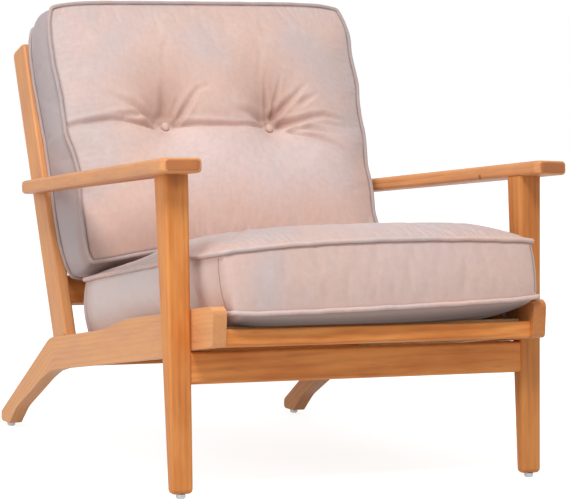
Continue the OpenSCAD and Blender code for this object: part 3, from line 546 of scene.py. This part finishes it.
def build_side(side, sign, raw_wood):
    """Leg, board, arm, post and cleat of one side. The left side is painted paler and the right darker: the left
    board's higher tint and sheen are painted light, and the right leg's and board's lower tints are painted shade.
    """
    left = sign < 0
    # The left leg's first spot is a knot; the second, just under the arm, is the arm's shadow painted on the leg's
    # top
    leg_knot_and_arm_shadow = [((-0.354, -0.372, 0.142), 0.0045, 0.85), ((-0.3375, -0.332, 0.514), 0.022, 0.62)]
    arm_knots = [((0.316, -0.205, 0.508), 0.005, 0.85)]
    # The tints that differ between the sides make a lit and a shaded copy of one wood: painted light on the left,
    # painted shade on the right
    leg = wood("leg_wood_" + side, leg_along, x_way, (sign * 0.40, -0.27, 0.3), 3.1 + sign,
               tint=1.0 if left else 0.88, knots_and_shadows=leg_knot_and_arm_shadow if left else ())
    board = wood("side_wood_" + side, seat_along, x_way, (sign * 0.36, 0.1, 0.12), 7.3 + 2 * sign,
                 bend=(rear_along, knee), painted_sheen=0.33 if left else 0.12, tint=1.1 if left else 0.9, ends=0.25)
    arm = wood("arm_wood_" + side, arm_along, x_way, (sign * 0.33, 0.0, 0.47), 1.7 + 3 * sign,
               painted_sheen=0.25, tint=1.05, ends=0.68, knots_and_shadows=() if left else arm_knots)
    post = wood("post_wood_" + side, post_along, x_way, (sign * 0.34, 0.2, 0.3), 5.9 + sign, painted_sheen=0.27, tint=1.06)
    eased("front_leg_" + side, 0.0065, leg, flush=[arm_face])
    eased("side_member_" + side, 0.0055, board, grain=Vector(seat_along))
    eased("armrest_" + side, 0.0065, arm, grain=Vector(arm_along))
    eased("back_post_" + side, 0.005, post, flush=[seat_face, floor_face])
    eased("seat_cleat_" + side, 0.0015, raw_wood, segments=2)


def build_rails():
    stretcher = wood("stretcher_wood", x_way, (0, 0, 1), (0.0, -0.27, 0.16), 9.4, tint=1.14)
    rail = wood("rail_wood", x_way, seat_up, (0.0, -0.33, 0.2), 2.2, tint=1.16)
    eased("front_stretcher", 0.004, stretcher, flush=both_sides(leg_in_x))
    eased("seat_front_rail", 0.0035, rail, flush=both_sides(side_in_x))
    eased("seat_rear_rail", 0.003, rail, flush=both_sides(side_in_x))
    for name in ("back_top_rail", "back_bottom_rail"):
        eased(name, 0.004, rail, flush=both_sides(post_in_x))


def build_slats(raw_wood):
    back_slat = wood("back_slat_wood", post_along, x_way, (0.03, 0.3, 0.3), 4.4)
    for name, count, finish in (("back_slat_%d", 5, back_slat), ("seat_slat_%d", 7, raw_wood)):
        for number in range(1, count + 1):
            eased(name % number, 0.0025, finish, segments=3)


# Cushions. A point further out than this along u or v is on the boxing, and along w on a panel
RIM = 0.9999
BOXING_RINGS = 12
PIPING_STEPS = 60
CLOTH_FRAMES = 20
# In metres: how far the upright seams are from the left corner, with their lean, and from the right one, the
# stretch beside them over which the painted sheen on the seat's boxing fades in, and where the painted shadow under
# the belly begins, ends and meets the sides
SIDE_SEAM, SIDE_SEAM_LEAN, FRONT_SEAM = 0.02, 0.006, 0.005
SHEEN_FROM_CORNER = (0.01, 0.07)
BELLY_SHADOW_BEGINS, BELLY_SHADOW_ENDS, BELLY_SHADOW_SIDES = (0.001, 0.011), (0.04, 0.07), (0.0, 0.03)
BELLY_SHADOW_SHARE = 0.97
# In metres: how far filling may move a point of each cover
SEAT_GIVE, BACK_GIVE = 0.014, 0.016


class Box:
    """A box cushion: two panels as functions of u and v from -1 to 1, with boxing between their rims.

    The boxing stands out by bulge at the rear left and by right_bulge elsewhere. corner is the share of a half
    side that a corner takes up."""

    def __init__(self, upper, lower, bulge, right_bulge, corner):
        self.upper, self.lower = upper, lower
        self.bulge, self.right_bulge, self.corner = bulge, right_bulge, corner

    def out(self, u, v):
        """The way out of the boxing, nil on the panels."""
        a = step(abs(u), 1 - self.corner, 1) * math.copysign(1, u)
        b = step(abs(v), 1 - self.corner, 1) * math.copysign(1, v)
        length = math.hypot(a, b)
        return Vector((a / length, b / length, 0)) if length > 1e-6 else Vector((0, 0, 0))

    def at(self, u, v, w):
        """A point in millimetres in the cushion's plane. w is 1 on the upper panel and -1 on the lower one."""
        high, low = Vector(self.upper(u, v)), Vector(self.lower(u, v))
        if abs(w) > RIM:
            return high if w > 0 else low
        t = (1 - w) / 2
        bulge = self.right_bulge + (self.bulge - self.right_bulge) * step(-u, 0, 0.8) * step(v, -0.7, -0.1)
        return high.lerp(low, t) + self.out(u, v) * bulge * math.sin(math.pi * t)


def shell(box, nu, nv):
    """A closed mesh of quads over a box cushion, and the place (u, v, w) of each of its points."""
    bm = bmesh.new()
    top = bmesh.ops.create_grid(bm, x_segments=nu, y_segments=nv, size=1)["verts"]
    bmesh.ops.translate(bm, verts=top, vec=(0, 0, 1))
    low = bmesh.ops.create_grid(bm, x_segments=nu, y_segments=nv, size=1)["verts"]
    bmesh.ops.translate(bm, verts=low, vec=(0, 0, -1))
    bmesh.ops.reverse_faces(bm, faces=[f for f in bm.faces if f.verts[0].co.z < 0])
    rims = [e for e in bm.edges if e.is_boundary]
    joined = bmesh.ops.bridge_loops(bm, edges=rims)
    bmesh.ops.subdivide_edges(bm, edges=joined["edges"], cuts=BOXING_RINGS, use_grid_fill=True)
    bmesh.ops.recalc_face_normals(bm, faces=bm.faces)
    bm.verts.ensure_lookup_table()
    spots = [tuple(v.co) for v in bm.verts]
    for point, spot in zip(bm.verts, spots):
        point.co = box.at(*spot) * MM
    return bm, spots


def mark(piece, box, spots, half_w, half_l, thick, seamed, boxing):
    """Keeps for the finish: place in the plane, distances from piping and corner seams, boxing and folds.

    Places and distances are in metres, and a distance is 1 where no seam is near enough to show. Boxing and fold
    say how far a point has their colour: the boxing's is painted sheen on the seat and partly painted shade on the
    back, and the fold's is painted shade in the back's creases and a painted shadow under the seat's belly."""
    kept = {name: [] for name in (
        "across", "along", "from_ends", "from_sides", "from_seam", "from_corner", "boxing", "fold")}
    for u, v, w in spots:
        x, y, _ = box.at(u, v, w)
        ends, sides = (1 - abs(v)) * half_l * MM, (1 - abs(u)) * half_w * MM
        at_side, at_end = abs(u) > RIM, abs(v) > RIM
        wall = at_side or at_end
        smooth = w < (RIM if wall else -RIM)
        corner_seam = ends - SIDE_SEAM + SIDE_SEAM_LEAN * w if u < 0 else sides - FRONT_SEAM
        on_seamed_wall = at_side if u < 0 else at_end
        # How far the boxing takes the wall colour: painted sheen on the seat, kept off its front corner, and partly
        # painted shade on the back
        paler = boxing * (step(ends, *SHEEN_FROM_CORNER) if at_side else 0.0) if seamed else boxing
        # Painted shadow under the seat's front belly, where it hangs over the rail
        belly = step(ends, *BELLY_SHADOW_BEGINS) * (1 - step(ends, *BELLY_SHADOW_ENDS)) * step(sides, *BELLY_SHADOW_SIDES)
        for name, value in (
                ("across", x * MM), ("along", y * MM),
                ("from_ends", 1.0 if smooth else ends), ("from_sides", 1.0 if smooth else sides),
                ("from_seam", (1 - abs(w)) / 2 * thick * MM if wall else min(ends, sides)),
                ("from_corner", corner_seam if seamed and on_seamed_wall and abs(w) < RIM else 1.0),
                ("boxing", paler if wall else 0.0),
                ("fold", BELLY_SHADOW_SHARE * belly if seamed and w < -RIM and v < 0 else 0.0)):
            kept[name].append(value)
    for name, values in kept.items():
        layer = piece.data.attributes.new(name, "FLOAT", "POINT")
        layer.data.foreach_set("value", values)


def as_seen(piece):
    """The piece as its modifiers make it."""
    return piece.evaluated_get(bpy.context.evaluated_depsgraph_get())


def stuff(piece, pinned, cap, rest=None):
    """Lets the cover fill out like cloth held at its seams, and keeps the shape that it takes.

    pinned says how firmly each point is held, cap how far one may move, and rest where it lies as cut."""
    start = [v.co.copy() for v in piece.data.vertices]
    held = piece.vertex_groups.new(name="sewn")
    for index, weight in enumerate(pinned):
        if weight > 0:
            held.add([index], weight, "REPLACE")
    if rest:
        piece.shape_key_add(name="Basis")
        key = piece.shape_key_add(name="cut")
        for point, place in zip(key.data, rest):
            point.co = place
        key.value = 0.0
    cloth = piece.modifiers.new("filling", "CLOTH")
    s = cloth.settings
    s.quality = 6
    s.mass = 0.25
    s.air_damping = 2.0
    s.tension_stiffness = s.compression_stiffness = 22
    s.shear_stiffness = 6
    s.bending_stiffness = 0.35
    s.use_pressure = True
    s.uniform_pressure_force = 4.0
    s.vertex_group_mass = "sewn"
    s.pin_stiffness = 1.0
    s.shrink_min = -0.006
    s.effector_weights.gravity = 0
    if rest:
        s.rest_shape_key = piece.data.shape_keys.key_blocks["cut"]
    cloth.collision_settings.use_collision = False
    cloth.collision_settings.use_self_collision = False
    cloth.point_cache.frame_start = 1
    cloth.point_cache.frame_end = CLOTH_FRAMES
    for number in range(1, CLOTH_FRAMES + 1):
        scene.frame_set(number)
    moved = [v.co.copy() for v in as_seen(piece).to_mesh().vertices]
    scene.frame_set(1)
    piece.modifiers.clear()
    if rest:
        piece.shape_key_clear()
    piece.vertex_groups.clear()
    for v, a, b in zip(piece.data.vertices, start, moved):
        shift = b - a
        if shift.length > cap:
            shift *= cap / shift.length
        v.co = a + shift


def covered(mesh, material):
    """Gives a mesh its only material."""
    mesh.materials.clear()
    mesh.materials.append(material)
    mesh.shade_smooth()


def subdivide(piece):
    """Puts the piece's mesh, once subdivided, in its place."""
    finer = piece.modifiers.new("finer", "SUBSURF")
    finer.levels = finer.render_levels = 1
    mesh = bpy.data.meshes.new_from_object(as_seen(piece), preserve_all_data_layers=True,
                                           depsgraph=bpy.context.evaluated_depsgraph_get())
    material = piece.data.materials[0]
    piece.modifiers.clear()
    piece.data = mesh
    covered(mesh, material)


def rim_path(box, which, shift):
    """Points in millimetres along a panel's rim, moved out from the cover."""
    points = []
    for k in range(4 * PIPING_STEPS):
        leg, t = divmod(k, PIPING_STEPS)
        s = -1 + 2 * t / PIPING_STEPS
        u, v = ((s, -1), (1, s), (-s, 1), (-1, -s))[leg]
        base = Vector((box.upper if which > 0 else box.lower)(u, v))
        points.append(base + box.out(u, v) * shift)
    return points


def piping(name, points, plane, radius, material, ripple):
    """Sewn piping along a closed line, with a slight ripple up and down."""
    curve = bpy.data.curves.new(name, "CURVE")
    curve.dimensions = "3D"
    curve.bevel_depth = radius * MM
    curve.bevel_resolution = 3
    curve.use_fill_caps = False
    line = curve.splines.new("NURBS")
    line.points.add(len(points) - 1)
    for k, (point, place) in enumerate(zip(line.points, points)):
        wave = ripple * math.sin(k * 0.9) * math.sin(k * 0.23 + 1.0)
        spot = plane @ (place + Vector((0, 0, wave)))
        point.co = (*(spot * MM), 1)
    line.use_cyclic_u = True
    line.order_u = 3
    made = put(name, curve)
    mesh = bpy.data.meshes.new_from_object(as_seen(made))
    bpy.data.objects.remove(made)
    covered(mesh, material)
    return put(name, mesh)


def in_metres(plane):
    """The turn and shift of a cushion's plane, for points in metres."""
    shift, turn, _ = plane.decompose()
    return Matrix.Translation(shift * MM) @ turn.to_matrix().to_4x4()


def into_place(piece, plane):
    """From the cushion's own plane to the chair's frame."""
    piece.data.transform(in_metres(plane))
    piece.data.update()


# Seat cushion, with what both cushions share first
piping_r = 4.0
piping_gap = 0.3
piping_off = piping_r + piping_gap
cover_grow = 1.5
seat_w, seat_len, seat_front = 604, 600, 113
seat_boxing, seat_thinning = 94, 9
seat_sag_front, seat_sag_rear = 6, 19
seat_front_lean, seat_rear_lean = 9, 24
seat_corner, seat_draw = 0.02, 4
seat_bulge, seat_right_bulge, seat_round = 8, 3, 0.03
seat_grid = (80, 76)
seat_half = seat_w / 2 - piping_r - piping_off
seat_half_len = seat_len / 2 - piping_r - piping_off
seat_mid = seat_len / 2 - seat_front
seat_low_z = piping_off
seat_full = 52
seat_tuck = 13
seat_crown, seat_front_swell, seat_front_crown = 27.5, 6, 6
# Lowest height of the underside over the front rail, and how far forward that holds. Over the slats it is higher,
# and it rises to that between two places along the plane
seat_rest, seat_rest_from = -33.0, -84
slats_higher, rise_begins, rise_ends = 3.3, -62, -54
# How far the left rims hang, along v
UPPER_DROOP = ((-1, 14), (-0.85, 14.5), (-0.5, 9.5), (0, 9), (0.42, 8), (1, 7))
LOWER_DROOP = ((-1, 16), (0, 12), (0.4, 17), (1, 24))


def seat_xy(u, v):
    """Place of a point of either panel in the plane, swollen a little at the right of the front."""
    x = (seat_half + cover_grow - seat_draw * max(0.0, 1 - v * v) ** 2) * u * (1 - seat_corner * v ** 8)
    y = seat_mid + (seat_half_len + cover_grow) * v * (1 - seat_corner * u ** 8)
    if u > 0:
        x += seat_front_swell * u ** 4 * (1 - step(v, -0.6, 0.2))
    return x, y


def seat_upper(u, v):
    """The top: crowned, pressed down under the back cushion, its left rim low."""
    x, y = seat_xy(u, v)
    pressed = 1 - 0.5 * step(v, -0.1, 0.8)
    rise = seat_crown * dome(u, v, 0.2) * pressed * (1 + 0.06 * u + (0.24 * u * u if u < 0 else 0.32 * u ** 4))
    droop = read_off(v, UPPER_DROOP) * ((1 - u) / 2) ** 2.8
    droop -= seat_front_crown * (1 - step(v, -1, 0)) * max(0.0, 1 - u * u) ** 0.7
    return (x, y + seat_front_lean * (1 - v) / 2 - seat_rear_lean * (1 + v) / 2,
            seat_low_z + seat_boxing - seat_thinning * (1 + v) / 2 + rise - droop)


def seat_lower(u, v):
    """The underside: sagging on its slats, its left front corner slipped in beside the board."""
    x, y = seat_xy(u, v)
    if u < 0:
        x += seat_tuck * abs(u) ** 8
    share = max(0.0, 1 - (u / 0.985) ** 2) ** 0.32
    sag = seat_sag_front + (seat_sag_rear - seat_sag_front) * (1 + v) / 2
    droop = read_off(v, LOWER_DROOP) * (1 - u) / 2
    z = seat_low_z - droop - (sag + (seat_full - sag) * max(0.0, 1 - v * v) ** 0.34) * share
    rest = seat_rest + slats_higher * step(y, rise_begins, rise_ends)
    return (x, y, max(z, rest) if y > seat_rest_from else z)


def seat_hold(u, v, w):
    """How firmly a point of the seat's cover is held while it fills out."""
    at_side, at_end = abs(u) > RIM, abs(v) > RIM
    rim = at_side or at_end
    if w < -RIM or (rim and w > RIM):
        return 1.0
    if rim and (w < -0.8 or v > 0.9 or (u < -0.9 and w < -0.55)):
        return 0.9
    return 0.8 if at_side and at_end else 0.0


def build_seat_cushion(material, cord):
    box = Box(seat_upper, seat_lower, seat_bulge, seat_right_bulge, seat_round)
    bm, spots = shell(box, *seat_grid)
    piece = finished(bm, "seat_cushion", material)
    mark(piece, box, spots, seat_half, seat_half_len, seat_boxing, True, 0.8)
    stuff(piece, [seat_hold(*spot) for spot in spots], SEAT_GIVE)
    subdivide(piece)
    into_place(piece, seat_plane)
    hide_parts("seat_cushion_cover", "seat_foam_core")
    pieces = [piece]
    for name, which in (("seat_piping_top", 1), ("seat_piping_bottom", -1)):
        tube = piping(name + "_sewn", rim_path(box, which, piping_off - cover_grow), seat_plane,
                      piping_r, cord, 0.5)
        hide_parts(name)
        pieces.append(tube)
    for p in pieces:
        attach(p, "seat_cushion")


# Back cushion
back_w, back_flare = 612, 15
back_low, back_low_drop, back_high, back_rear_inset = 92.5, 12, 602, 1
back_lift, back_swing = 19, 9
back_arch, back_low_arch = 7, 36
back_boxing, back_belly, back_crown = 96, 26, 42
tuft_pitch, tuft_s, tuft_depth = 214, 358, 36
back_corner_x, back_corner_y, back_draw = 0.045, 0.035, 3
back_bulge, back_round = 9, 0.07
back_grid = (98, 84)
back_half = back_w / 2 - piping_r - piping_off
back_rear_n = piping_off
back_rear_crown = 12
back_inset = piping_r + piping_off
tuft_spread, fold_depth, rear_tuft_depth = 44, 8, 9
sewn_crown, cut_crown = back_crown - 6, back_crown + 4
tuft_hold = 9
back_piping_r = 3.5
LEFT_WANDER = ((80, -12), (111, -11), (158, -1), (213, 3), (266, 11), (301, 8), (345, -2), (417, 2), (480, 0))


def from_tuft(x, s):
    """Sideways and upward distance from the nearer tuft."""
    return abs(x) - tuft_pitch / 2, s - tuft_s


def back_s(u, v, drop, low_arch, inset):
    """Height along the posts of a point of either panel, higher at the upper right."""
    low = back_low - drop + low_arch * (1 - abs(u) ** 3) + back_inset - cover_grow + inset
    high = back_high + back_arch * max(0.0, 1 - u * u) ** 0.8 - back_inset + cover_grow - inset
    w = v * (1 - back_corner_y * u ** 8)
    lift = back_lift * ((1 + u) / 2) ** 2.2 * ((1 + v) / 2) ** 1.5
    return low + (high - low) * (w + 1) / 2 + lift


def back_x(u, v, s):
    """Sideways place of a point of either panel, drawn in beside the tufts, its right edge wandering."""
    draw = back_draw * math.exp(-((s - tuft_s) / 90) ** 2)
    swing = back_swing * step(v, -0.7, 0.4) - 5 * step(-v, 0, 0.6) + 1.8 * math.sin(s / 17) if u > 0 else 0
    half = back_half + cover_grow + back_flare * (1 + v) / 4 - draw
    return half * u * (1 - back_corner_x * v ** 8) + swing * u * u


def back_edge_n(v):
    """Height of the front rim over the cushion's rear plane."""
    return back_rear_n + back_boxing + back_belly * ((1 - v) / 2) ** 3


def tuft_fall(x, s):
    """Fall of the front towards the tufts: a long funnel above each, a short one below, and the fold between."""
    dx, dy = from_tuft(x, s)
    fold = (fold_depth + 6 * (1 - step(abs(x), 95, 190))) * math.exp(-(dy / (24 if dy > 0 else 12)) ** 2)
    rise = dy / (58 if dy > 0 else 27)
    run = dx / (36 + 0.12 * max(0.0, dy))
    return fold + (tuft_depth - fold) * math.exp(-(run * run + rise * rise) ** 0.8)


def left_edge(u, s):
    """Sideways wander of the front panel's left edge."""
    return read_off(s, LEFT_WANDER) * abs(u) ** 5 if u < 0 else 0


def back_upper(u, v):
    """The front panel, drawn in at its tufts."""
    s = back_s(u, v, back_low_drop, back_low_arch, 0)
    x = back_x(u, v, s) + left_edge(u, s)
    rise = dome(u, v, 0.6)
    return (x, s, back_edge_n(v) + sewn_crown * rise - tuft_fall(x, s) * min(1, 1.6 * rise))


def back_full(u, v):
    """The front panel as it is cut, before the tufts draw it in."""
    s = back_s(u, v, back_low_drop, back_low_arch, 0)
    return (back_x(u, v, s) + left_edge(u, s), s, back_edge_n(v) + cut_crown * dome(u, v, 0.6))


def back_lower(u, v):
    """The rear panel, with a shallow dent at each tuft."""
    s = back_s(u, v, 0, 0, back_rear_inset)
    x = back_x(u, v, s) - back_rear_inset * u
    dx, dy = from_tuft(x, s)
    dent = rear_tuft_depth * math.exp(-(dx * dx + dy * dy) / tuft_spread ** 2)
    return (x, s, back_rear_n - back_rear_crown * dome(u, v, 0.8) + dent)


# Creases that run out from each tuft: depth, spread above and below the line, and its points from the tuft.
# All depths are scaled. A line that ends to_the_edge or further out runs on to the piping instead of fading away.
# No crease is looked for further from its tuft than the reaches.
crease_scale = 1.7
to_the_edge = 180
reach_sideways, reach_down, reach_up = 225, 100, 135
left_creases = (
    (7.5, 10, 6, ((-14, 4), (-22, 7), (-63, 33), (-87, 42), (-122, 57))),
    (7.5, 9, 5, ((-12, -4), (-20, -6), (-57, 0), (-87, 7), (-112, 7), (-197, -2))),
    (5, 6, 5, ((-48, 15), (-66, 16), (-90, 17), (-128, 20))),
    (5, 10, 9, ((-9, 12), (-18, 22), (-47, 57))),
    (5, 11, 11, ((0, 12), (0, 20), (0, 55), (0, 90))),
    (4.5, 6, 6, ((8, 12), (16, 26), (30, 60))),
    (6, 8, 7, ((14, 6), (26, 13), (63, 63), (97, 76))),
    (7, 7, 4, ((12, 1), (26, 0), (85, -3), (130, -3), (188, 1), (202, 1))),
)
right_creases = (
    (5, 10, 8, ((-10, 8), (-18, 13), (-47, 24), (-90, 27))),
    (4, 6, 6, ((-4, 12), (-4, 103))),
    (4, 6, 5, ((8, 20), (14, 42), (34, 106))),
    (8, 9, 6, ((8, 12), (10, 20), (55, 57), (88, 88))),
    (4, 7, 6, ((60, 40), (71, 46), (110, 68))),
    (8.5, 8, 6, ((12, 0), (24, 4), (55, 8), (81, 15), (112, 20), (175, 10))),
    (7.5, 7, 6, ((30, -8), (55, -17), (126, -40), (178, -70))),
    (6.5, 7, 6, ((45, -3), (95, -9), (178, -16))),
)


def funnel_shade(x, s):
    """How much painted shade darkens the funnel above each tuft."""
    dx, dy = from_tuft(x, s)
    return 0.5 * step(dy, -10, 14) * math.exp(-(dx / (38 + 0.25 * dy)) ** 2 - (max(0.0, dy - 20) / 75) ** 2)


def hem_shade(x, s):
    """How much painted shade darkens the panel low on the left, where it curls under."""
    left = step(-x, 60, 140)
    return 0.42 * left * (1 - step(s, 120, 215)) + 0.3 * (1 - left) * step(-x, -100, -20) * (1 - step(s, 110, 165))


def fold_shade(x, s, fall):
    """How much painted shade darkens a point of the front panel, for its finish: in the creases, the funnels and
    low on the left.
    """
    dip = max(0.0, fall)
    return min(0.85, 0.03 * dip + 0.0055 * dip ** 2 + funnel_shade(x, s) + hem_shade(x, s))


def line_fall(dx, dy, depth, above, below, points):
    """Fall at a point from one crease: a narrow valley with a soft ridge on either side, fading along its run."""
    nearest, where, over, run = 1e9, 0.0, True, 0.0
    for (ax, ay), (bx, by) in zip(points, points[1:]):
        length = math.hypot(bx - ax, by - ay)
        t = min(1.0, max(0.0, ((dx - ax) * (bx - ax) + (dy - ay) * (by - ay)) / length ** 2))
        gap = math.hypot(dx - ax - t * (bx - ax), dy - ay - t * (by - ay))
        if gap < nearest:
            nearest, where = gap, run + t * length
            over = ((bx - ax) * (dy - ay) - (by - ay) * (dx - ax)) * (bx - ax) > 0
        run += length
    spread = 0.85 * (above if over else below)
    if nearest > 3.5 * spread:
        return 0.0
    share = where / run
    fade = step(where, -5, 12) * ((1 - share) ** 1.1 if abs(points[-1][0]) < to_the_edge else 1 - 0.5 * share)
    spread *= 1 - 0.35 * share
    valley = math.exp(-(nearest / spread) ** 1.5)
    ridge = 0.3 * math.exp(-((nearest - 1.9 * spread) / (0.8 * spread)) ** 2)
    return depth * fade * (valley - ridge)


def crease_fall(x, s):
    """Fall of the front panel from all the creases round each tuft."""
    total = 0.0
    for side, lines in ((-1, left_creases), (1, right_creases)):
        dx, dy = x - side * tuft_pitch / 2, s - tuft_s
        if abs(dx) < reach_sideways and -reach_down < dy < reach_up:
            total += sum(line_fall(dx, dy, *line) for line in lines)
    return total


def crease(piece):
    """Presses the creases into the front panel and keeps for the finish how much painted shade darkens its folds.
    """
    folds = [0.0] * len(piece.data.vertices)
    for v in piece.data.vertices:
        x, s, n = v.co / MM
        share = step(n, back_boxing * 0.9, back_boxing * 1.06)
        if share > 0:
            fall = crease_fall(x, s)
            v.co.z -= crease_scale * fall * share * MM
            folds[v.index] = share * fold_shade(x, s, fall)
    piece.data.attributes["fold"].data.foreach_set("value", folds)


def back_hold(u, v, w, x, s):
    """How firmly a point of the back's cover is held while it fills out."""
    rim = max(abs(u), abs(v)) > RIM
    if w < -RIM or (rim and w > RIM) or (w > RIM and math.hypot(*from_tuft(x, s)) < tuft_hold):
        return 1.0
    return 0.9 if rim and w < -0.8 else 0.0


def build_back_cushion(material, cord):
    box = Box(back_upper, back_lower, back_bulge, back_bulge, back_round)
    bm, spots = shell(box, *back_grid)
    piece = finished(bm, "back_cushion", material)
    mark(piece, box, spots, back_half, (back_high - back_low) / 2, back_boxing, False, 1.0)
    pinned, cut = [], []
    for u, v, w in spots:
        place = box.at(u, v, w)
        pinned.append(back_hold(u, v, w, place.x, place.y))
        cut.append((Vector(back_full(u, v)) if w > RIM else place) * MM)
    stuff(piece, pinned, BACK_GIVE, cut)
    subdivide(piece)
    crease(piece)
    into_place(piece, back_plane)
    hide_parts("back_cushion_cover", "back_foam_core", "tuft_twines")
    pieces = [piece]
    for name, which in (("back_piping_front", 1), ("back_piping_rear", -1)):
        tube = piping(name + "_sewn", rim_path(box, which, back_piping_r - cover_grow + piping_gap), back_plane,
                      back_piping_r, cord, 0.9)
        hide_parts(name)
        pieces.append(tube)
    for p in pieces:
        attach(p, "back_cushion")


# Covered buttons: node, piece, radius, height, which way they face and how far over the cushion's rear plane
BUTTONS = (
    ("tuft_buttons_front", "button_front", 8, 9, 1, back_edge_n(0.1) + back_crown - tuft_depth - 1),
    ("tuft_buttons_rear", "button_rear", 9, 4, -1, back_rear_n - back_rear_crown + rear_tuft_depth + 2))
DOME_SHARE, UNDER_SHARE = 0.62, 0.38
GATHERS, GATHER_DEPTH = 13, 0.03


def build_buttons(material):
    """A low dome with the cloth gathered under its edge, in front and behind each tuft."""
    for node, name, radius, height, turn, over in BUTTONS:
        for side, tag in ((-1, "left"), (1, "right")):
            bm = bmesh.new()
            bmesh.ops.create_uvsphere(bm, u_segments=40, v_segments=20, radius=1)
            for v in bm.verts:
                a = math.atan2(v.co.y, v.co.x)
                gather = 1 + GATHER_DEPTH * math.sin(a * GATHERS) * (1 - v.co.z) / 2
                z = v.co.z * height * (DOME_SHARE if v.co.z > 0 else UNDER_SHARE)
                v.co = Vector((v.co.x * radius * gather, v.co.y * radius * gather, z * turn))
            if turn < 0:
                bmesh.ops.reverse_faces(bm, faces=bm.faces)
            bmesh.ops.translate(bm, verts=bm.verts, vec=(side * tuft_pitch / 2, tuft_s, over))
            bmesh.ops.scale(bm, verts=bm.verts, vec=(MM, MM, MM))
            piece = finished(bm, name + "_" + tag, material)
            into_place(piece, back_plane)
            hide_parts(node)
            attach(piece, "back_cushion")


def dress_hidden_parts(raw_wood):
    """Bolts, screws, inserts, dowels and glides keep their solids and get their finishes."""
    steel = metal("zinc_steel", (0.5, 0.5, 0.51), 0.42)
    brass = metal("brass", (0.78, 0.58, 0.26), 0.3)
    for name, node in nodes.items():
        if node.hide_render:
            continue
        if name == "leg_inserts":
            finish = brass
        elif "dowels" in name:
            finish = raw_wood
        else:
            finish = steel
        node.data.materials.clear()
        node.data.materials.append(finish)


def on_back(spots):
    """Places in the chair's frame of spots on the back's front panel, with the reach of each, in metres."""
    panel_n = 0.13
    return [(tuple(in_metres(back_plane) @ Vector((x, s, panel_n))), reach) for x, s, reach in spots]


place_camera()
floor_mesh = bmesh.new()
bmesh.ops.create_grid(floor_mesh, x_segments=1, y_segments=1, size=12)
floor = finished(floor_mesh, "floor", paper_white("floor_white"), smooth=False)
light_the_room()
raw_wood = wood("deck_wood", x_way, (0, 1, 0), (0.0, 0.1, 0.5), 6.0, colours=RAW)
build_side("left", -1, raw_wood)
build_side("right", 1, raw_wood)
build_rails()
build_slats(raw_wood)
warm_back = on_back((
    (-0.1, 0.385, 0.17), (0.1, 0.385, 0.17), (0.0, 0.15, 0.2), (-0.15, 0.14, 0.18), (0.18, 0.16, 0.16)))
# Spots of painted sheen below and between the tufts
sheen_back = on_back(((-0.07, 0.29, 0.12), (0.07, 0.285, 0.13), (0.19, 0.285, 0.11)))
# The seat's piping is a brighter copy of the velvet: painted highlight. Its cover has painted sheen on its top and
# side boxing, and a painted shadow under its belly
build_seat_cushion(
    velvet("velvet_seat", 0.0, 1.0, warm_at=[((0.02, -0.46, 0.33), 0.24), ((0.2, -0.46, 0.33), 0.2)],
           sheen_and_shade_at=[((0.05, -0.25, 0.42), 0.28), ((0.2, -0.1, 0.4), 0.2)], pale=(0.66, 0.62, 0.69), puckers=1.2,
           wall=(0.9, 0.805, 0.785), deep=(0.05, 0.032, 0.027)),
    velvet("velvet_piping", 4.0, 1.06))
# The back's piping is a darker, greyer copy of the velvet: painted shade
build_back_cushion(
    velvet("velvet_back", 2.0, 1.03, warm_at=warm_back, sheen_and_shade_at=sheen_back, puckers=0.6),
    velvet("velvet_back_piping", 4.0, 0.84, sheen_and_shade_at=[((0, 0.1, 0.5), 2.0)], pale=(0.42, 0.38, 0.39)))
build_buttons(velvet("velvet_buttons", 5.0, 1.0, warm_at=warm_back))
dress_hidden_parts(raw_wood)
